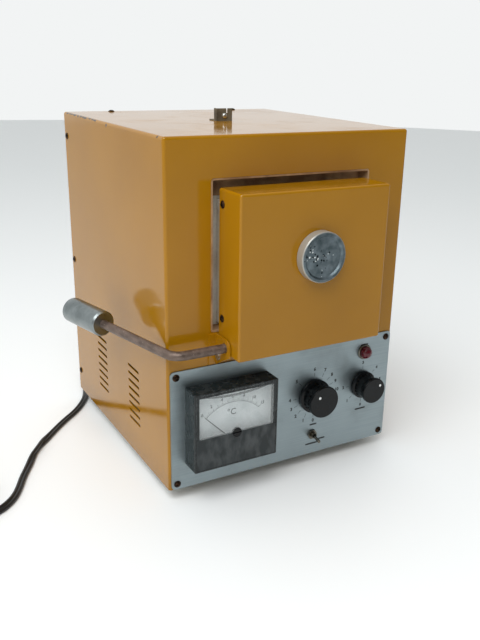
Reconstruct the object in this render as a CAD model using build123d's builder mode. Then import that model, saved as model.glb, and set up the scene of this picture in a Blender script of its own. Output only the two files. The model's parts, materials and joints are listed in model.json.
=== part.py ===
from build123d import *
import math
import os

os.makedirs("parts", exist_ok=True)

# Bench ring furnace, in millimetres.
# The origin is on the floor under the middle of the case, +X to the right seen from the front,
# +Y to the back, +Z up. Heights marked "up" are measured from the case's bottom edge.

# Case
CASE_W = 250.0
CASE_D = 264.0
CASE_H = 320.0
SKIN = 1.2
CASE_EDGE_R = 2.6
FOOT_H = 12.0

# Clearances: seated piece, packed sheet or fibre, running shaft, gap beside what moves
FIT = 0.2
LOOSE = 0.5
RUN = 0.05
AIR = 0.3

# Louvre slots in both sides
SLOT_L = 28.5
SLOT_H = 2.8
SLOT_ROWS = 8
SLOT_PITCH = 8.1
SLOT_UP = 63.3
SLOT_COLUMN_PITCH = 91.2
SLOT_BACK = 128.9

# Case screws, near the rear edges; a domed end is filleted to this share of its height
SCREW_R = 1.9
DOME_R = 3.4
DOME_H = 1.8
ROUNDING = 0.8
SHANK_L = 6.0
CASE_SCREW_IN = 6.7
CASE_SCREW_END = 24.5
ROOF_SCREW_SIDE = 50.4

# Rear panel and its vents
FLANGE = 14.0
BEND_R = 1.8
VENT_SLOT_L = 46.0
VENT_SLOT_H = 3.0
VENT_SLOT_PITCH = 8.0
VENT_SLOT_ROWS = 6
VENT_SLOT_UP = 70.0
VENT_SLOT_COLUMNS = 62.0

# Base plate and feet
BASE_FLANGE = 10.0
BASE_REAR_GAP = 2.0
FOOT_R = 10.0
FOOT_TIP_R = 8.4
FOOT_EDGE_R = 1.2
FOOT_SIDE = 16.0
FOOT_FRONT = 36.0
FOOT_REAR = 28.0
FOOT_BORE_R = 5.0
FOOT_FLOOR = 5.0
FOOT_SCREW_R = 2.0
FOOT_HEAD_H = 2.5
NUT_R = 4.0
NUT_H = 3.2

# Instrument panel
PANEL_SIDE = 2.0
PANEL_H = 118.0
PANEL_T = 1.5
PANEL_UP = 0.4
PANEL_R = 4.0
PANEL_SCREW_IN = 5.6
BAY_MARGIN = 10.0

# Shelf between the instruments and the firing chamber
SHELF_UP = 126.0
SHELF_FLANGE = 10.0

# Recess in the case front and its steel liner
RECESS_W = 165.0
RECESS_H = 136.0
RECESS_UP = 149.0
RECESS_R = 3.0
LINER_T = 1.5
LINER_DEPTH = 14.0
LINER_SIDE = 7.5
LINER_TOP = 17.0

# Firing chamber: board round its mouth, muffle, winding and insulation
BOARD_T = 17.0
MUFFLE_W = 110.0
MUFFLE_H = 85.0
MUFFLE_L = 140.0
MUFFLE_WALL = 10.0
MUFFLE_RISE = 16.0
MUFFLE_R = 8.0
WINDING_T = 2.4
WINDING_IN = 8.0
PACKING = 0.4
REAR_PACK = 64.0

# Door: narrower than the recess, stopping under its top and lapping over its lower edge
DOOR_SIDE_GAP = 6.5
DOOR_TOP_GAP = 7.5
DOOR_LAP = 16.0
DOOR_GAP = 3.0
DOOR_T = 37.0
DOOR_SKIN = 1.2
DOOR_EDGE_R = 2.0
PLUG_SIDE_GAP = 5.0
PLUG_END_GAP = 3.0
PLUG_FACE_GAP = 0.5
TRAY_T = 1.0
TRAY_FLANGE = 9.0
DOOR_SCREW_IN = 6.0
DOOR_SCREW_LOW = 31.0
DOOR_SCREW_HIGH = 132.0
DOOR_SCREW_TIP = 1.0
BLOCK_EDGE_R = 1.5
BLOCK_ROD_GAP = 2.0

# Sight hole, its tube and the turned plug
SIGHT_X = 1.5
SIGHT_RISE = 87.0
SIGHT_TUBE_R = 10.0
SIGHT_BORE_R = 8.0
SIGHT_DISC_R = 22.5
SIGHT_DISC_T = 9.2
SIGHT_RIM = 3.0
SIGHT_DISH = 1.6
SIGHT_STEM_L = 38.0
SIGHT_RIM_BEVEL = 1.0
SIGHT_BACK_BEVEL = 0.8

# Hinge ears
HINGE_FRONT = 18.5
HINGE_RISE = 7.0
EAR_T = 1.5
EAR_GAP = 0.8
EAR_REACH = 27.0
EAR_TOP = 8.3
EAR_CORNER_R = 8.0
EAR_FLANGE = 8.2
EAR_PANEL_GAP = 1.0
STOP_FRONT = 7.0
STOP_DROP = 12.0
STOP_R = 2.0
STOP_HEAD_R = 3.0
STOP_HEAD_H = 1.6
STOP_TIP = 3.0

# Lever rod, bent from the hinge shaft, and its grip
ROD_R = 4.15
ROD_BEND_R = 13.0
ROD_END = 4.0
ROD_BEVEL = 0.8
LEVER_YAW = 12.8
LEVER_CLEAR = 1.4
GRIP_AT = 110.0
GRIP_R = 12.25
GRIP_L = 56.0
GRIP_CHAMFER = 1.6
GRIP_HOLD = 44.0
GRIP_SCREW_R = 2.5
GRIP_SCREW_AT = 18.0
GRIP_SCREW_SUNK = 1.0

# Meter
METER_X = -66.0
METER_UP = 63.0
METER_W = 86.0
METER_H = 78.0
METER_PROUD = 20.0
METER_WALL = 2.0
METER_R = 1.6
METER_BODY_R = 30.0
METER_BODY_L = 30.0
WINDOW_T = 1.6
WINDOW_UP = 57.0
COVER_T = 3.0
DIAL_T = 0.8
DIAL_DEEP = 9.0
ARCH_SAG = 6.0
ARCH_W = 1.3
ARCH_T = 2.5
PIVOT_UP = 45.0
MOVEMENT_R = 15.0
PIVOT_R = 1.6
PIVOT_PROUD = 1.0
NEEDLE_L = 41.0
NEEDLE_HUB_R = 2.8
NEEDLE_T = 0.6
NEEDLE_TIP_W = 0.7
NEEDLE_ROOT_W = 1.6
NEEDLE_ZERO = 45.0
ADJUSTER_R = 4.6
ADJUSTER_DROP = 0.6
ADJUSTER_T = 2.4
ADJUSTER_SLOT = 1.0

# Knobs and what they turn
SHAFT_R = 3.0
BUSHING_R = 4.8
BUSHING_PROUD = 3.0
REGULATOR_X = 31.0
REGULATOR_UP = 65.0
REGULATOR_R = 17.3
REGULATOR_H = 19.0
REGULATOR_BODY = 46.0
SELECTOR_X = 90.6
SELECTOR_UP = 65.4
SELECTOR_R = 14.2
SELECTOR_H = 20.5
SELECTOR_BODY = 34.0
CONTROL_DEEP = 34.0
KNOB_LIFT = 0.6
KNOB_SKIRT = 3.4
KNOB_EDGE_R = 1.0
KNOB_SHOULDER = 1.0
KNOB_WAIST = 0.81
KNOB_WAIST_AT = 0.55
KNOB_CROWN = 0.94
KNOB_FLUTES = 20
KNOB_FLUTE_R = 1.1

# Pilot lamp
LAMP_X = 90.6
LAMP_UP = 101.0
LENS_R = 6.2
LENS_SIDE = 4.5
LENS_DOME = 4.6
BEZEL_R = 7.8
BEZEL_T = 2.0
LAMP_R = 5.2
LAMP_L = 26.0
LAMP_NUT_R = 7.2

# Toggle switch
TOGGLE_X = 31.0
TOGGLE_UP = 22.0
TOGGLE_R = 3.0
TOGGLE_BORE_R = 2.4
TOGGLE_PROUD = 5.0
TOGGLE_NUT_R = 5.2
TOGGLE_NUT_T = 2.0
TOGGLE_BODY_W = 13.0
TOGGLE_BODY_H = 18.0
TOGGLE_BODY_L = 20.0
TOGGLE_BALL_R = 2.1
TOGGLE_PIVOT = 2.0
TOGGLE_L = 13.0
TOGGLE_TIP_R = 1.7
TOGGLE_ROOT_R = 1.1
TOGGLE_TILT = 12.0

# Vent on the roof
VENT_X = -8.0
VENT_BACK = 127.5
VENT_R = 5.0
VENT_BORE_R = 3.2
VENT_PROUD = 5.0
BRACKET_W = 17.0
BRACKET_H = 12.0
BRACKET_L = 16.0
BRACKET_T = 1.0
BRACKET_RETURN = 6.0
BRACKET_NOTCH_W = 1.6
BRACKET_NOTCH_H = 4.5
BRACKET_NOTCH_SIDE = 2.8
BRACKET_CLEAR = 2.0
BRACKET_SCREW_UP = 5.0
BRACKET_SCREW_R = 2.5
BRACKET_SCREW_TIP = 1.0

# Thermocouple and terminals
PROBE_X = 20.0
PROBE_RISE = 71.0
PROBE_R = 4.0
PROBE_TIP_R = 3.2
PROBE_IN = 24.0
PROBE_HEAD_R = 10.0
PROBE_HEAD_L = 9.0
TERMINAL_W = 52.0
TERMINAL_D = 20.0
TERMINAL_H = 18.0
TERMINAL_X = -64.0
TERMINAL_Y = 84.0
TERMINAL_WAYS = 4

# Mains lead: flat twin, its width is taken as the tube's diameter
CORD_R = 3.5
GLAND_X = -34.0
GLAND_UP = 28.0
GLAND_R = 9.0
GLAND_T = 5.0
GLAND_THREAD_R = 7.0
RELIEF_L = 24.0
RELIEF_ROOT_R = 6.4
RELIEF_TIP_R = 4.2
COIL_X = -322.0
COIL_Y = -36.0
COIL_R = 51.0
COIL_PITCH = 7.6
COIL_RISE = 7.8
COIL_HALF_TURNS = 5
PLUG_L = 36.0
PLUG_W = 27.0
PLUG_H = 14.0
PLUG_NECK_L = 12.0
PLUG_NECK_R = 4.6
BLADE_L = 17.0
BLADE_W = 6.3
BLADE_T = 1.5
BLADE_PITCH = 12.7
SAMPLES = 400

# Places worked out from the sizes
FRONT_Y = -CASE_D / 2
REAR_Y = CASE_D / 2
ROOF_Z = FOOT_H + CASE_H
INNER_W = CASE_W - 2 * SKIN
CASE_SCREW_PITCH = CASE_H / 2 - CASE_SCREW_END
ROOF_SCREW_PITCH = CASE_W - 2 * ROOF_SCREW_SIDE
FOOT_PITCH_X = CASE_W - 2 * FOOT_SIDE
FOOT_PITCH_Y = CASE_D - FOOT_FRONT - FOOT_REAR
FOOT_BACK = (FOOT_FRONT - FOOT_REAR) / 2
PANEL_W = CASE_W - 2 * PANEL_SIDE
DOOR_W = RECESS_W - 2 * DOOR_SIDE_GAP
DOOR_UP = RECESS_UP - DOOR_LAP
DOOR_H = RECESS_H + DOOR_LAP - DOOR_TOP_GAP
SIGHT_UP = DOOR_UP + SIGHT_RISE
MUFFLE_UP = RECESS_UP + MUFFLE_RISE
PROBE_UP = MUFFLE_UP + PROBE_RISE
HINGE_UP = DOOR_UP + HINGE_RISE
HINGE_Y = FRONT_Y - HINGE_FRONT
HINGE_Z = FOOT_H + HINGE_UP
LINER_OPEN_W = RECESS_W - 2 * LINER_SIDE
LINER_OPEN_LOW = RECESS_UP + FIT + LINER_T
LINER_OPEN_HIGH = RECESS_UP + RECESS_H - LINER_TOP
PLUG_BLOCK_W = LINER_OPEN_W - 2 * PLUG_SIDE_GAP
PLUG_LOW = LINER_OPEN_LOW + PLUG_END_GAP
PLUG_HIGH = LINER_OPEN_HIGH - PLUG_END_GAP
BOARD_IN = LINER_DEPTH + LINER_T
MUFFLE_IN = BOARD_IN + BOARD_T
MUFFLE_OUT_W = MUFFLE_W + 2 * MUFFLE_WALL
MUFFLE_OUT_H = MUFFLE_H + 2 * MUFFLE_WALL
MUFFLE_END = MUFFLE_IN + MUFFLE_L + MUFFLE_WALL
MUFFLE_MID_UP = MUFFLE_UP + MUFFLE_H / 2
CORE_W = MUFFLE_OUT_W + 2 * (WINDING_T + PACKING)
CORE_H = MUFFLE_OUT_H + 2 * (WINDING_T + PACKING)
CORE_LOW = MUFFLE_MID_UP - CORE_H / 2
CORE_HIGH = MUFFLE_MID_UP + CORE_H / 2
PACK_LOW = SHELF_UP + SKIN
PACK_HIGH = CASE_H - SKIN - LOOSE
PACK_W = INNER_W - 2 * LOOSE
VENT_Y = FRONT_Y + VENT_BACK
DOOR_FACE = DOOR_GAP + DOOR_T


def facing(front, x=0.0, up=0.0):
    """A plane parallel to the case front, so far in front of it, looking at the viewer."""
    return Plane(origin=(x, FRONT_Y - front, FOOT_H + up), x_dir=(1, 0, 0), z_dir=(0, -1, 0))


def turning(front, x, up):
    """A plane through an axis that points at the viewer: its x is the radius, its y the way out."""
    return Plane(origin=(x, FRONT_Y - front, FOOT_H + up), x_dir=(1, 0, 0), z_dir=(0, 0, -1))


def sideways(x):
    """A plane square to X: its x is the model's Y and its y is the height up the case."""
    return Plane(origin=(x, 0, FOOT_H), x_dir=(0, 1, 0), z_dir=(1, 0, 0))


def outward(front, x, up):
    """The axis of something that turns on the front, pointing at the viewer."""
    return Axis((x, FRONT_Y - front, FOOT_H + up), (0, -1, 0))


# Casing: front, sides and roof in one bent and welded shell, open at the back and underneath
with BuildPart() as casing:
    with BuildSketch(Plane.XY.offset(FOOT_H)):
        Rectangle(CASE_W, CASE_D)
    extrude(amount=CASE_H)
    upright = casing.edges().filter_by(Axis.Z).group_by(Axis.Y)[0]
    top = casing.faces().sort_by(Axis.Z)[-1]
    rim = top.edges().sort_by(Axis.Y)[:-1]
    fillet(upright + rim, CASE_EDGE_R)
    open_faces = casing.faces().sort_by(Axis.Z)[:1] + casing.faces().sort_by(Axis.Y)[-1:]
    offset(amount=-SKIN, openings=open_faces)
    with BuildSketch(facing(0, up=RECESS_UP + RECESS_H / 2)):
        RectangleRounded(RECESS_W, RECESS_H, RECESS_R)
    extrude(amount=-2 * CASE_EDGE_R, mode=Mode.SUBTRACT)
    with BuildSketch(facing(0, up=PANEL_UP + PANEL_H / 2)):
        RectangleRounded(PANEL_W - 2 * BAY_MARGIN, PANEL_H - 2 * BAY_MARGIN, RECESS_R)
        with GridLocations(PANEL_W - 2 * PANEL_SCREW_IN, PANEL_H - 2 * PANEL_SCREW_IN, 2, 2):
            Circle(SCREW_R + FIT)
    extrude(amount=-2 * CASE_EDGE_R, mode=Mode.SUBTRACT)
    with BuildSketch(sideways(0)):
        with Locations((FRONT_Y + SLOT_BACK, SLOT_UP)):
            with GridLocations(SLOT_COLUMN_PITCH, SLOT_PITCH, 2, SLOT_ROWS):
                SlotOverall(SLOT_L, SLOT_H)
        with Locations((REAR_Y - CASE_SCREW_IN, CASE_H / 2)):
            with GridLocations(1, CASE_SCREW_PITCH, 1, 3):
                Circle(SCREW_R + FIT)
    extrude(amount=CASE_W, both=True, mode=Mode.SUBTRACT)
    with BuildSketch(Plane.XY.offset(ROOF_Z)):
        with Locations((VENT_X, VENT_Y)):
            Circle(VENT_R + FIT)
        with Locations((0, REAR_Y - CASE_SCREW_IN)):
            with GridLocations(ROOF_SCREW_PITCH, 1, 2, 1):
                Circle(SCREW_R + FIT)
    extrude(amount=-2 * CASE_EDGE_R, mode=Mode.SUBTRACT)
casing.part.label = "casing"
export_step(casing.part, "parts/casing.step")

# Rear panel: a tray with forward flanges, screwed inside the casing's rear edges
rear_low = FOOT_H + SKIN
rear_high = ROOF_Z - SKIN - LOOSE
with BuildPart() as rear_panel:
    with BuildSketch(Plane.XZ.offset(-REAR_Y)):
        with Locations((0, (rear_low + rear_high) / 2)):
            Rectangle(PACK_W, rear_high - rear_low)
    extrude(amount=FLANGE)
    back_face = rear_panel.faces().sort_by(Axis.Y)[-1]
    fillet(back_face.edges(), BEND_R)
    offset(amount=-SKIN, openings=rear_panel.faces().sort_by(Axis.Y)[0])
    with BuildSketch(Plane.XZ.offset(-REAR_Y)):
        with Locations((0, FOOT_H + VENT_SLOT_UP)):
            with GridLocations(VENT_SLOT_COLUMNS, VENT_SLOT_PITCH, 2, VENT_SLOT_ROWS):
                SlotOverall(VENT_SLOT_L, VENT_SLOT_H)
        with Locations((GLAND_X, FOOT_H + GLAND_UP)):
            Circle(GLAND_THREAD_R + FIT)
    extrude(amount=2 * SKIN, both=True, mode=Mode.SUBTRACT)
    with BuildSketch(sideways(0)):
        with Locations((REAR_Y - CASE_SCREW_IN, CASE_H / 2)):
            with GridLocations(1, CASE_SCREW_PITCH, 1, 3):
                Circle(SCREW_R + FIT)
    extrude(amount=CASE_W, both=True, mode=Mode.SUBTRACT)
    with BuildSketch(Plane.XY.offset(ROOF_Z)):
        with Locations((0, REAR_Y - CASE_SCREW_IN)):
            with GridLocations(ROOF_SCREW_PITCH, 1, 2, 1):
                Circle(SCREW_R + FIT)
    extrude(amount=-FLANGE, mode=Mode.SUBTRACT)
rear_panel.part.label = "rear_panel"
export_step(rear_panel.part, "parts/rear_panel.step")

# Case screws: dark dome heads, six in the sides and two in the roof
with BuildPart() as case_screws:
    for side in (-1, 1):
        with BuildSketch(sideways(side * (CASE_W / 2 + DOME_H))):
            with Locations((REAR_Y - CASE_SCREW_IN, CASE_H / 2)):
                with GridLocations(1, CASE_SCREW_PITCH, 1, 3):
                    Circle(DOME_R)
        extrude(amount=-side * DOME_H)
        with BuildSketch(sideways(side * CASE_W / 2)):
            with Locations((REAR_Y - CASE_SCREW_IN, CASE_H / 2)):
                with GridLocations(1, CASE_SCREW_PITCH, 1, 3):
                    Circle(SCREW_R)
        extrude(amount=-side * SHANK_L)
    with BuildSketch(Plane.XY.offset(ROOF_Z)):
        with Locations((0, REAR_Y - CASE_SCREW_IN)):
            with GridLocations(ROOF_SCREW_PITCH, 1, 2, 1):
                Circle(DOME_R)
    extrude(amount=DOME_H)
    with BuildSketch(Plane.XY.offset(ROOF_Z)):
        with Locations((0, REAR_Y - CASE_SCREW_IN)):
            with GridLocations(ROOF_SCREW_PITCH, 1, 2, 1):
                Circle(SCREW_R)
    extrude(amount=-SHANK_L)
    rims = case_screws.edges().filter_by(GeomType.CIRCLE).filter_by(lambda e: e.radius > SCREW_R + FIT)
    outer = [e for e in rims if abs(e.center().X) > CASE_W / 2 + FIT or e.center().Z > ROOF_Z + FIT]
    fillet(outer, DOME_H * ROUNDING)
case_screws.part.label = "case_screws"
export_step(case_screws.part, "parts/case_screws.step")

# Base plate: a sheet with upturned edges inside the casing, carrying the feet
base_l = CASE_D - SKIN - LOOSE
base_mid_y = FRONT_Y + SKIN + LOOSE + base_l / 2
flange_l = base_l - FLANGE - BASE_REAR_GAP
with BuildPart() as base_plate:
    with BuildSketch(Plane.XY.offset(FOOT_H)):
        with Locations((0, base_mid_y)):
            Rectangle(PACK_W, base_l)
        with Locations((0, FOOT_BACK)):
            with GridLocations(FOOT_PITCH_X, FOOT_PITCH_Y, 2, 2):
                Circle(FOOT_SCREW_R + FIT, mode=Mode.SUBTRACT)
    extrude(amount=SKIN)
    with BuildSketch(Plane.XY.offset(FOOT_H + SKIN)):
        with Locations((0, FRONT_Y + SKIN + LOOSE + flange_l / 2)):
            Rectangle(PACK_W, flange_l)
        with Locations((0, FRONT_Y + 2 * SKIN + LOOSE + flange_l / 2)):
            Rectangle(PACK_W - 2 * SKIN, flange_l, mode=Mode.SUBTRACT)
    extrude(amount=BASE_FLANGE)
    with BuildSketch(facing(0, up=PANEL_UP + PANEL_H / 2)):
        with GridLocations(PANEL_W - 2 * PANEL_SCREW_IN, PANEL_H - 2 * PANEL_SCREW_IN, 2, 2):
            Circle(SCREW_R + FIT)
    extrude(amount=-2 * SHANK_L, mode=Mode.SUBTRACT)
base_plate.part.label = "base_plate"
export_step(base_plate.part, "parts/base_plate.step")

# Feet: tapered rubber, bored from below for their screws
with BuildPart() as feet:
    with Locations((0, FOOT_BACK, FOOT_H / 2)):
        with GridLocations(FOOT_PITCH_X, FOOT_PITCH_Y, 2, 2):
            Cone(FOOT_TIP_R, FOOT_R, FOOT_H)
    fillet(feet.edges().group_by(Axis.Z)[0], FOOT_EDGE_R)
    with Locations((0, FOOT_BACK, (FOOT_H - FOOT_FLOOR) / 2)):
        with GridLocations(FOOT_PITCH_X, FOOT_PITCH_Y, 2, 2):
            Cylinder(FOOT_BORE_R, FOOT_H - FOOT_FLOOR, mode=Mode.SUBTRACT)
    with Locations((0, FOOT_BACK, FOOT_H / 2)):
        with GridLocations(FOOT_PITCH_X, FOOT_PITCH_Y, 2, 2):
            Cylinder(FOOT_SCREW_R + FIT, FOOT_H, mode=Mode.SUBTRACT)
feet.part.label = "feet"
export_step(feet.part, "parts/feet.step")

# Foot screws: pan heads inside the feet, hexagon nuts on the base plate
with BuildPart() as foot_screws:
    with BuildSketch(Plane.XY.offset(FOOT_H - FOOT_FLOOR - FOOT_HEAD_H)):
        with Locations((0, FOOT_BACK)):
            with GridLocations(FOOT_PITCH_X, FOOT_PITCH_Y, 2, 2):
                Circle(FOOT_BORE_R - 2 * FIT)
    extrude(amount=FOOT_HEAD_H)
    with BuildSketch(Plane.XY.offset(FOOT_H - FOOT_FLOOR)):
        with Locations((0, FOOT_BACK)):
            with GridLocations(FOOT_PITCH_X, FOOT_PITCH_Y, 2, 2):
                Circle(FOOT_SCREW_R)
    extrude(amount=FOOT_FLOOR + SKIN)
    with BuildSketch(Plane.XY.offset(FOOT_H + SKIN)):
        with Locations((0, FOOT_BACK)):
            with GridLocations(FOOT_PITCH_X, FOOT_PITCH_Y, 2, 2):
                RegularPolygon(NUT_R, 6)
    extrude(amount=NUT_H)
foot_screws.part.label = "foot_screws"
export_step(foot_screws.part, "parts/foot_screws.step")

# Instrument panel: brushed aluminium plate with its holes
with BuildPart() as instrument_panel:
    with BuildSketch(facing(0, up=PANEL_UP + PANEL_H / 2)):
        RectangleRounded(PANEL_W, PANEL_H, PANEL_R)
        with GridLocations(PANEL_W - 2 * PANEL_SCREW_IN, PANEL_H - 2 * PANEL_SCREW_IN, 2, 2):
            Circle(SCREW_R + FIT, mode=Mode.SUBTRACT)
    extrude(amount=PANEL_T)
    with BuildSketch(facing(0)):
        with Locations((METER_X, METER_UP)):
            Circle(METER_BODY_R + FIT)
        with Locations((REGULATOR_X, REGULATOR_UP), (SELECTOR_X, SELECTOR_UP)):
            Circle(BUSHING_R + FIT)
        with Locations((LAMP_X, LAMP_UP)):
            Circle(LAMP_R + FIT)
        with Locations((TOGGLE_X, TOGGLE_UP)):
            Circle(TOGGLE_R + FIT)
    extrude(amount=PANEL_T, mode=Mode.SUBTRACT)
instrument_panel.part.label = "instrument_panel"
export_step(instrument_panel.part, "parts/instrument_panel.step")

# Panel screws: black domes at the four corners
with BuildPart() as panel_screws:
    with BuildSketch(facing(PANEL_T, up=PANEL_UP + PANEL_H / 2)):
        with GridLocations(PANEL_W - 2 * PANEL_SCREW_IN, PANEL_H - 2 * PANEL_SCREW_IN, 2, 2):
            Circle(DOME_R)
    extrude(amount=DOME_H)
    fillet(panel_screws.edges().group_by(Axis.Y)[0], DOME_H * ROUNDING)
    with BuildSketch(facing(PANEL_T, up=PANEL_UP + PANEL_H / 2)):
        with GridLocations(PANEL_W - 2 * PANEL_SCREW_IN, PANEL_H - 2 * PANEL_SCREW_IN, 2, 2):
            Circle(SCREW_R)
    extrude(amount=-SHANK_L)
panel_screws.part.label = "panel_screws"
export_step(panel_screws.part, "parts/panel_screws.step")

# Shelf: keeps the heat above from the instruments below, flanges turned down
shelf_l = CASE_D - SKIN - 2 * LOOSE - FLANGE
with BuildPart() as shelf:
    with BuildSketch(Plane.XY.offset(FOOT_H + SHELF_UP)):
        with Locations((0, FRONT_Y + SKIN + LOOSE + shelf_l / 2)):
            Rectangle(PACK_W, shelf_l)
    extrude(amount=SKIN)
    with BuildSketch(Plane.XY.offset(FOOT_H + SHELF_UP)):
        with Locations((0, FRONT_Y + SKIN + LOOSE + shelf_l / 2)):
            Rectangle(PACK_W, shelf_l)
            Rectangle(PACK_W - 2 * SKIN, shelf_l - 2 * SKIN, mode=Mode.SUBTRACT)
    extrude(amount=-SHELF_FLANGE)
shelf.part.label = "shelf"
export_step(shelf.part, "parts/shelf.step")

# Recess liner: a steel pan set into the case front, its face pierced for the door's block
with BuildPart() as recess_liner:
    with BuildSketch(facing(0, up=RECESS_UP + RECESS_H / 2)):
        RectangleRounded(RECESS_W - 2 * FIT, RECESS_H - 2 * FIT, RECESS_R - FIT)
    extrude(amount=-LINER_DEPTH - LINER_T)
    with BuildSketch(facing(0, up=RECESS_UP + RECESS_H / 2)):
        RectangleRounded(RECESS_W - 2 * FIT - 2 * LINER_T, RECESS_H - 2 * FIT - 2 * LINER_T, LINER_T)
    extrude(amount=-LINER_DEPTH, mode=Mode.SUBTRACT)
    with BuildSketch(facing(-LINER_DEPTH, up=(LINER_OPEN_LOW + LINER_OPEN_HIGH) / 2)):
        Rectangle(LINER_OPEN_W, LINER_OPEN_HIGH - LINER_OPEN_LOW)
    extrude(amount=-LINER_T, mode=Mode.SUBTRACT)
recess_liner.part.label = "recess_liner"
export_step(recess_liner.part, "parts/recess_liner.step")

# Hinge ears: folded brackets welded to the case front, one each side of the door
ear_low = PANEL_UP + PANEL_H + EAR_PANEL_GAP
ear_high = HINGE_UP + EAR_TOP
ear_inner = DOOR_W / 2 + EAR_GAP
for side, name in ((-1, "left"), (1, "right")):
    with BuildPart() as hinge_ear:
        with BuildSketch(sideways(side * ear_inner)):
            with Locations((FRONT_Y - EAR_REACH / 2, (ear_low + ear_high) / 2)):
                Rectangle(EAR_REACH, ear_high - ear_low)
        extrude(amount=side * EAR_T)
        front_edges = hinge_ear.edges().filter_by(Axis.X).group_by(Axis.Y)[0]
        fillet(front_edges.sort_by(Axis.Z)[-1], EAR_CORNER_R)
        fillet(front_edges.sort_by(Axis.Z)[0], EAR_CORNER_R / 2)
        with BuildSketch(facing(0, x=side * (ear_inner + EAR_FLANGE / 2), up=(ear_low + ear_high) / 2)):
            Rectangle(EAR_FLANGE, ear_high - ear_low)
        extrude(amount=EAR_T)
        with BuildSketch(sideways(side * ear_inner)):
            with Locations((HINGE_Y, HINGE_UP)):
                Circle(ROD_R + RUN)
            with Locations((FRONT_Y - STOP_FRONT, HINGE_UP - STOP_DROP)):
                Circle(STOP_R + FIT)
        extrude(amount=side * EAR_T, mode=Mode.SUBTRACT)
    hinge_ear.part.label = f"hinge_ear_{name}"
    export_step(hinge_ear.part, f"parts/hinge_ear_{name}.step")

# Stop screws through the ears, under the open door's lower edge
with BuildPart() as stop_screws:
    for side in (-1, 1):
        with BuildSketch(sideways(side * (ear_inner + EAR_T))):
            with Locations((FRONT_Y - STOP_FRONT, HINGE_UP - STOP_DROP)):
                Circle(STOP_HEAD_R)
        extrude(amount=side * STOP_HEAD_H)
        with BuildSketch(sideways(side * (ear_inner + EAR_T))):
            with Locations((FRONT_Y - STOP_FRONT, HINGE_UP - STOP_DROP)):
                Circle(STOP_R)
        extrude(amount=-side * (EAR_T + EAR_GAP + STOP_TIP))
stop_screws.part.label = "stop_screws"
export_step(stop_screws.part, "parts/stop_screws.step")

# Front board: white insulating board with the mouth of the chamber
with BuildPart() as front_board:
    with BuildSketch(facing(-BOARD_IN, up=(PACK_LOW + PACK_HIGH) / 2)):
        Rectangle(PACK_W, PACK_HIGH - PACK_LOW)
    extrude(amount=-BOARD_T)
    with BuildSketch(facing(-BOARD_IN, up=MUFFLE_MID_UP)):
        RectangleRounded(MUFFLE_W, MUFFLE_H, MUFFLE_R)
    extrude(amount=-BOARD_T, mode=Mode.SUBTRACT)
front_board.part.label = "front_board"
export_step(front_board.part, "parts/front_board.step")

# Muffle: ceramic chamber, open at the front, holed for the vent and the thermocouple
with BuildPart() as muffle:
    with BuildSketch(facing(-MUFFLE_IN, up=MUFFLE_MID_UP)):
        RectangleRounded(MUFFLE_OUT_W, MUFFLE_OUT_H, MUFFLE_R)
    extrude(amount=-MUFFLE_L - MUFFLE_WALL)
    with BuildSketch(facing(-MUFFLE_IN, up=MUFFLE_MID_UP)):
        RectangleRounded(MUFFLE_W, MUFFLE_H, MUFFLE_R)
    extrude(amount=-MUFFLE_L, mode=Mode.SUBTRACT)
    with BuildSketch(facing(-MUFFLE_IN - MUFFLE_L)):
        with Locations((PROBE_X, PROBE_UP)):
            Circle(PROBE_R + AIR)
    extrude(amount=-MUFFLE_WALL, mode=Mode.SUBTRACT)
    with BuildSketch(Plane.XY.offset(FOOT_H + MUFFLE_UP + MUFFLE_H)):
        with Locations((VENT_X, VENT_Y)):
            Circle(VENT_R + AIR)
    extrude(amount=MUFFLE_WALL, mode=Mode.SUBTRACT)
muffle.part.label = "muffle"
export_step(muffle.part, "parts/muffle.step")

# Heating winding: the layer of resistance wire and cement round the muffle
with BuildPart() as heating_winding:
    with BuildSketch(facing(-MUFFLE_IN - WINDING_IN, up=MUFFLE_MID_UP)):
        RectangleRounded(MUFFLE_OUT_W + 2 * WINDING_T, MUFFLE_OUT_H + 2 * WINDING_T, MUFFLE_R + WINDING_T)
        RectangleRounded(MUFFLE_OUT_W, MUFFLE_OUT_H, MUFFLE_R, mode=Mode.SUBTRACT)
    extrude(amount=-MUFFLE_L + WINDING_IN)
    with BuildSketch(Plane.XY.offset(FOOT_H + MUFFLE_UP + MUFFLE_H)):
        with Locations((VENT_X, VENT_Y)):
            Circle(VENT_R + AIR)
    extrude(amount=MUFFLE_WALL + 2 * WINDING_T, mode=Mode.SUBTRACT)
heating_winding.part.label = "heating_winding"
export_step(heating_winding.part, "parts/heating_winding.step")

# Insulation: fibre blocks packed round the wound muffle
pack_l = MUFFLE_END - MUFFLE_IN
side_pack_w = (PACK_W - CORE_W) / 2
for side, name in ((-1, "left"), (1, "right")):
    with BuildPart() as insulation:
        with BuildSketch(facing(-MUFFLE_IN, x=side * (CORE_W + side_pack_w) / 2)):
            with Locations((0, (PACK_LOW + PACK_HIGH) / 2)):
                Rectangle(side_pack_w, PACK_HIGH - PACK_LOW)
        extrude(amount=-pack_l)
    insulation.part.label = f"insulation_{name}"
    export_step(insulation.part, f"parts/insulation_{name}.step")

with BuildPart() as insulation_bottom:
    with BuildSketch(facing(-MUFFLE_IN, up=(PACK_LOW + CORE_LOW) / 2)):
        Rectangle(CORE_W, CORE_LOW - PACK_LOW)
    extrude(amount=-pack_l)
insulation_bottom.part.label = "insulation_bottom"
export_step(insulation_bottom.part, "parts/insulation_bottom.step")

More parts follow.
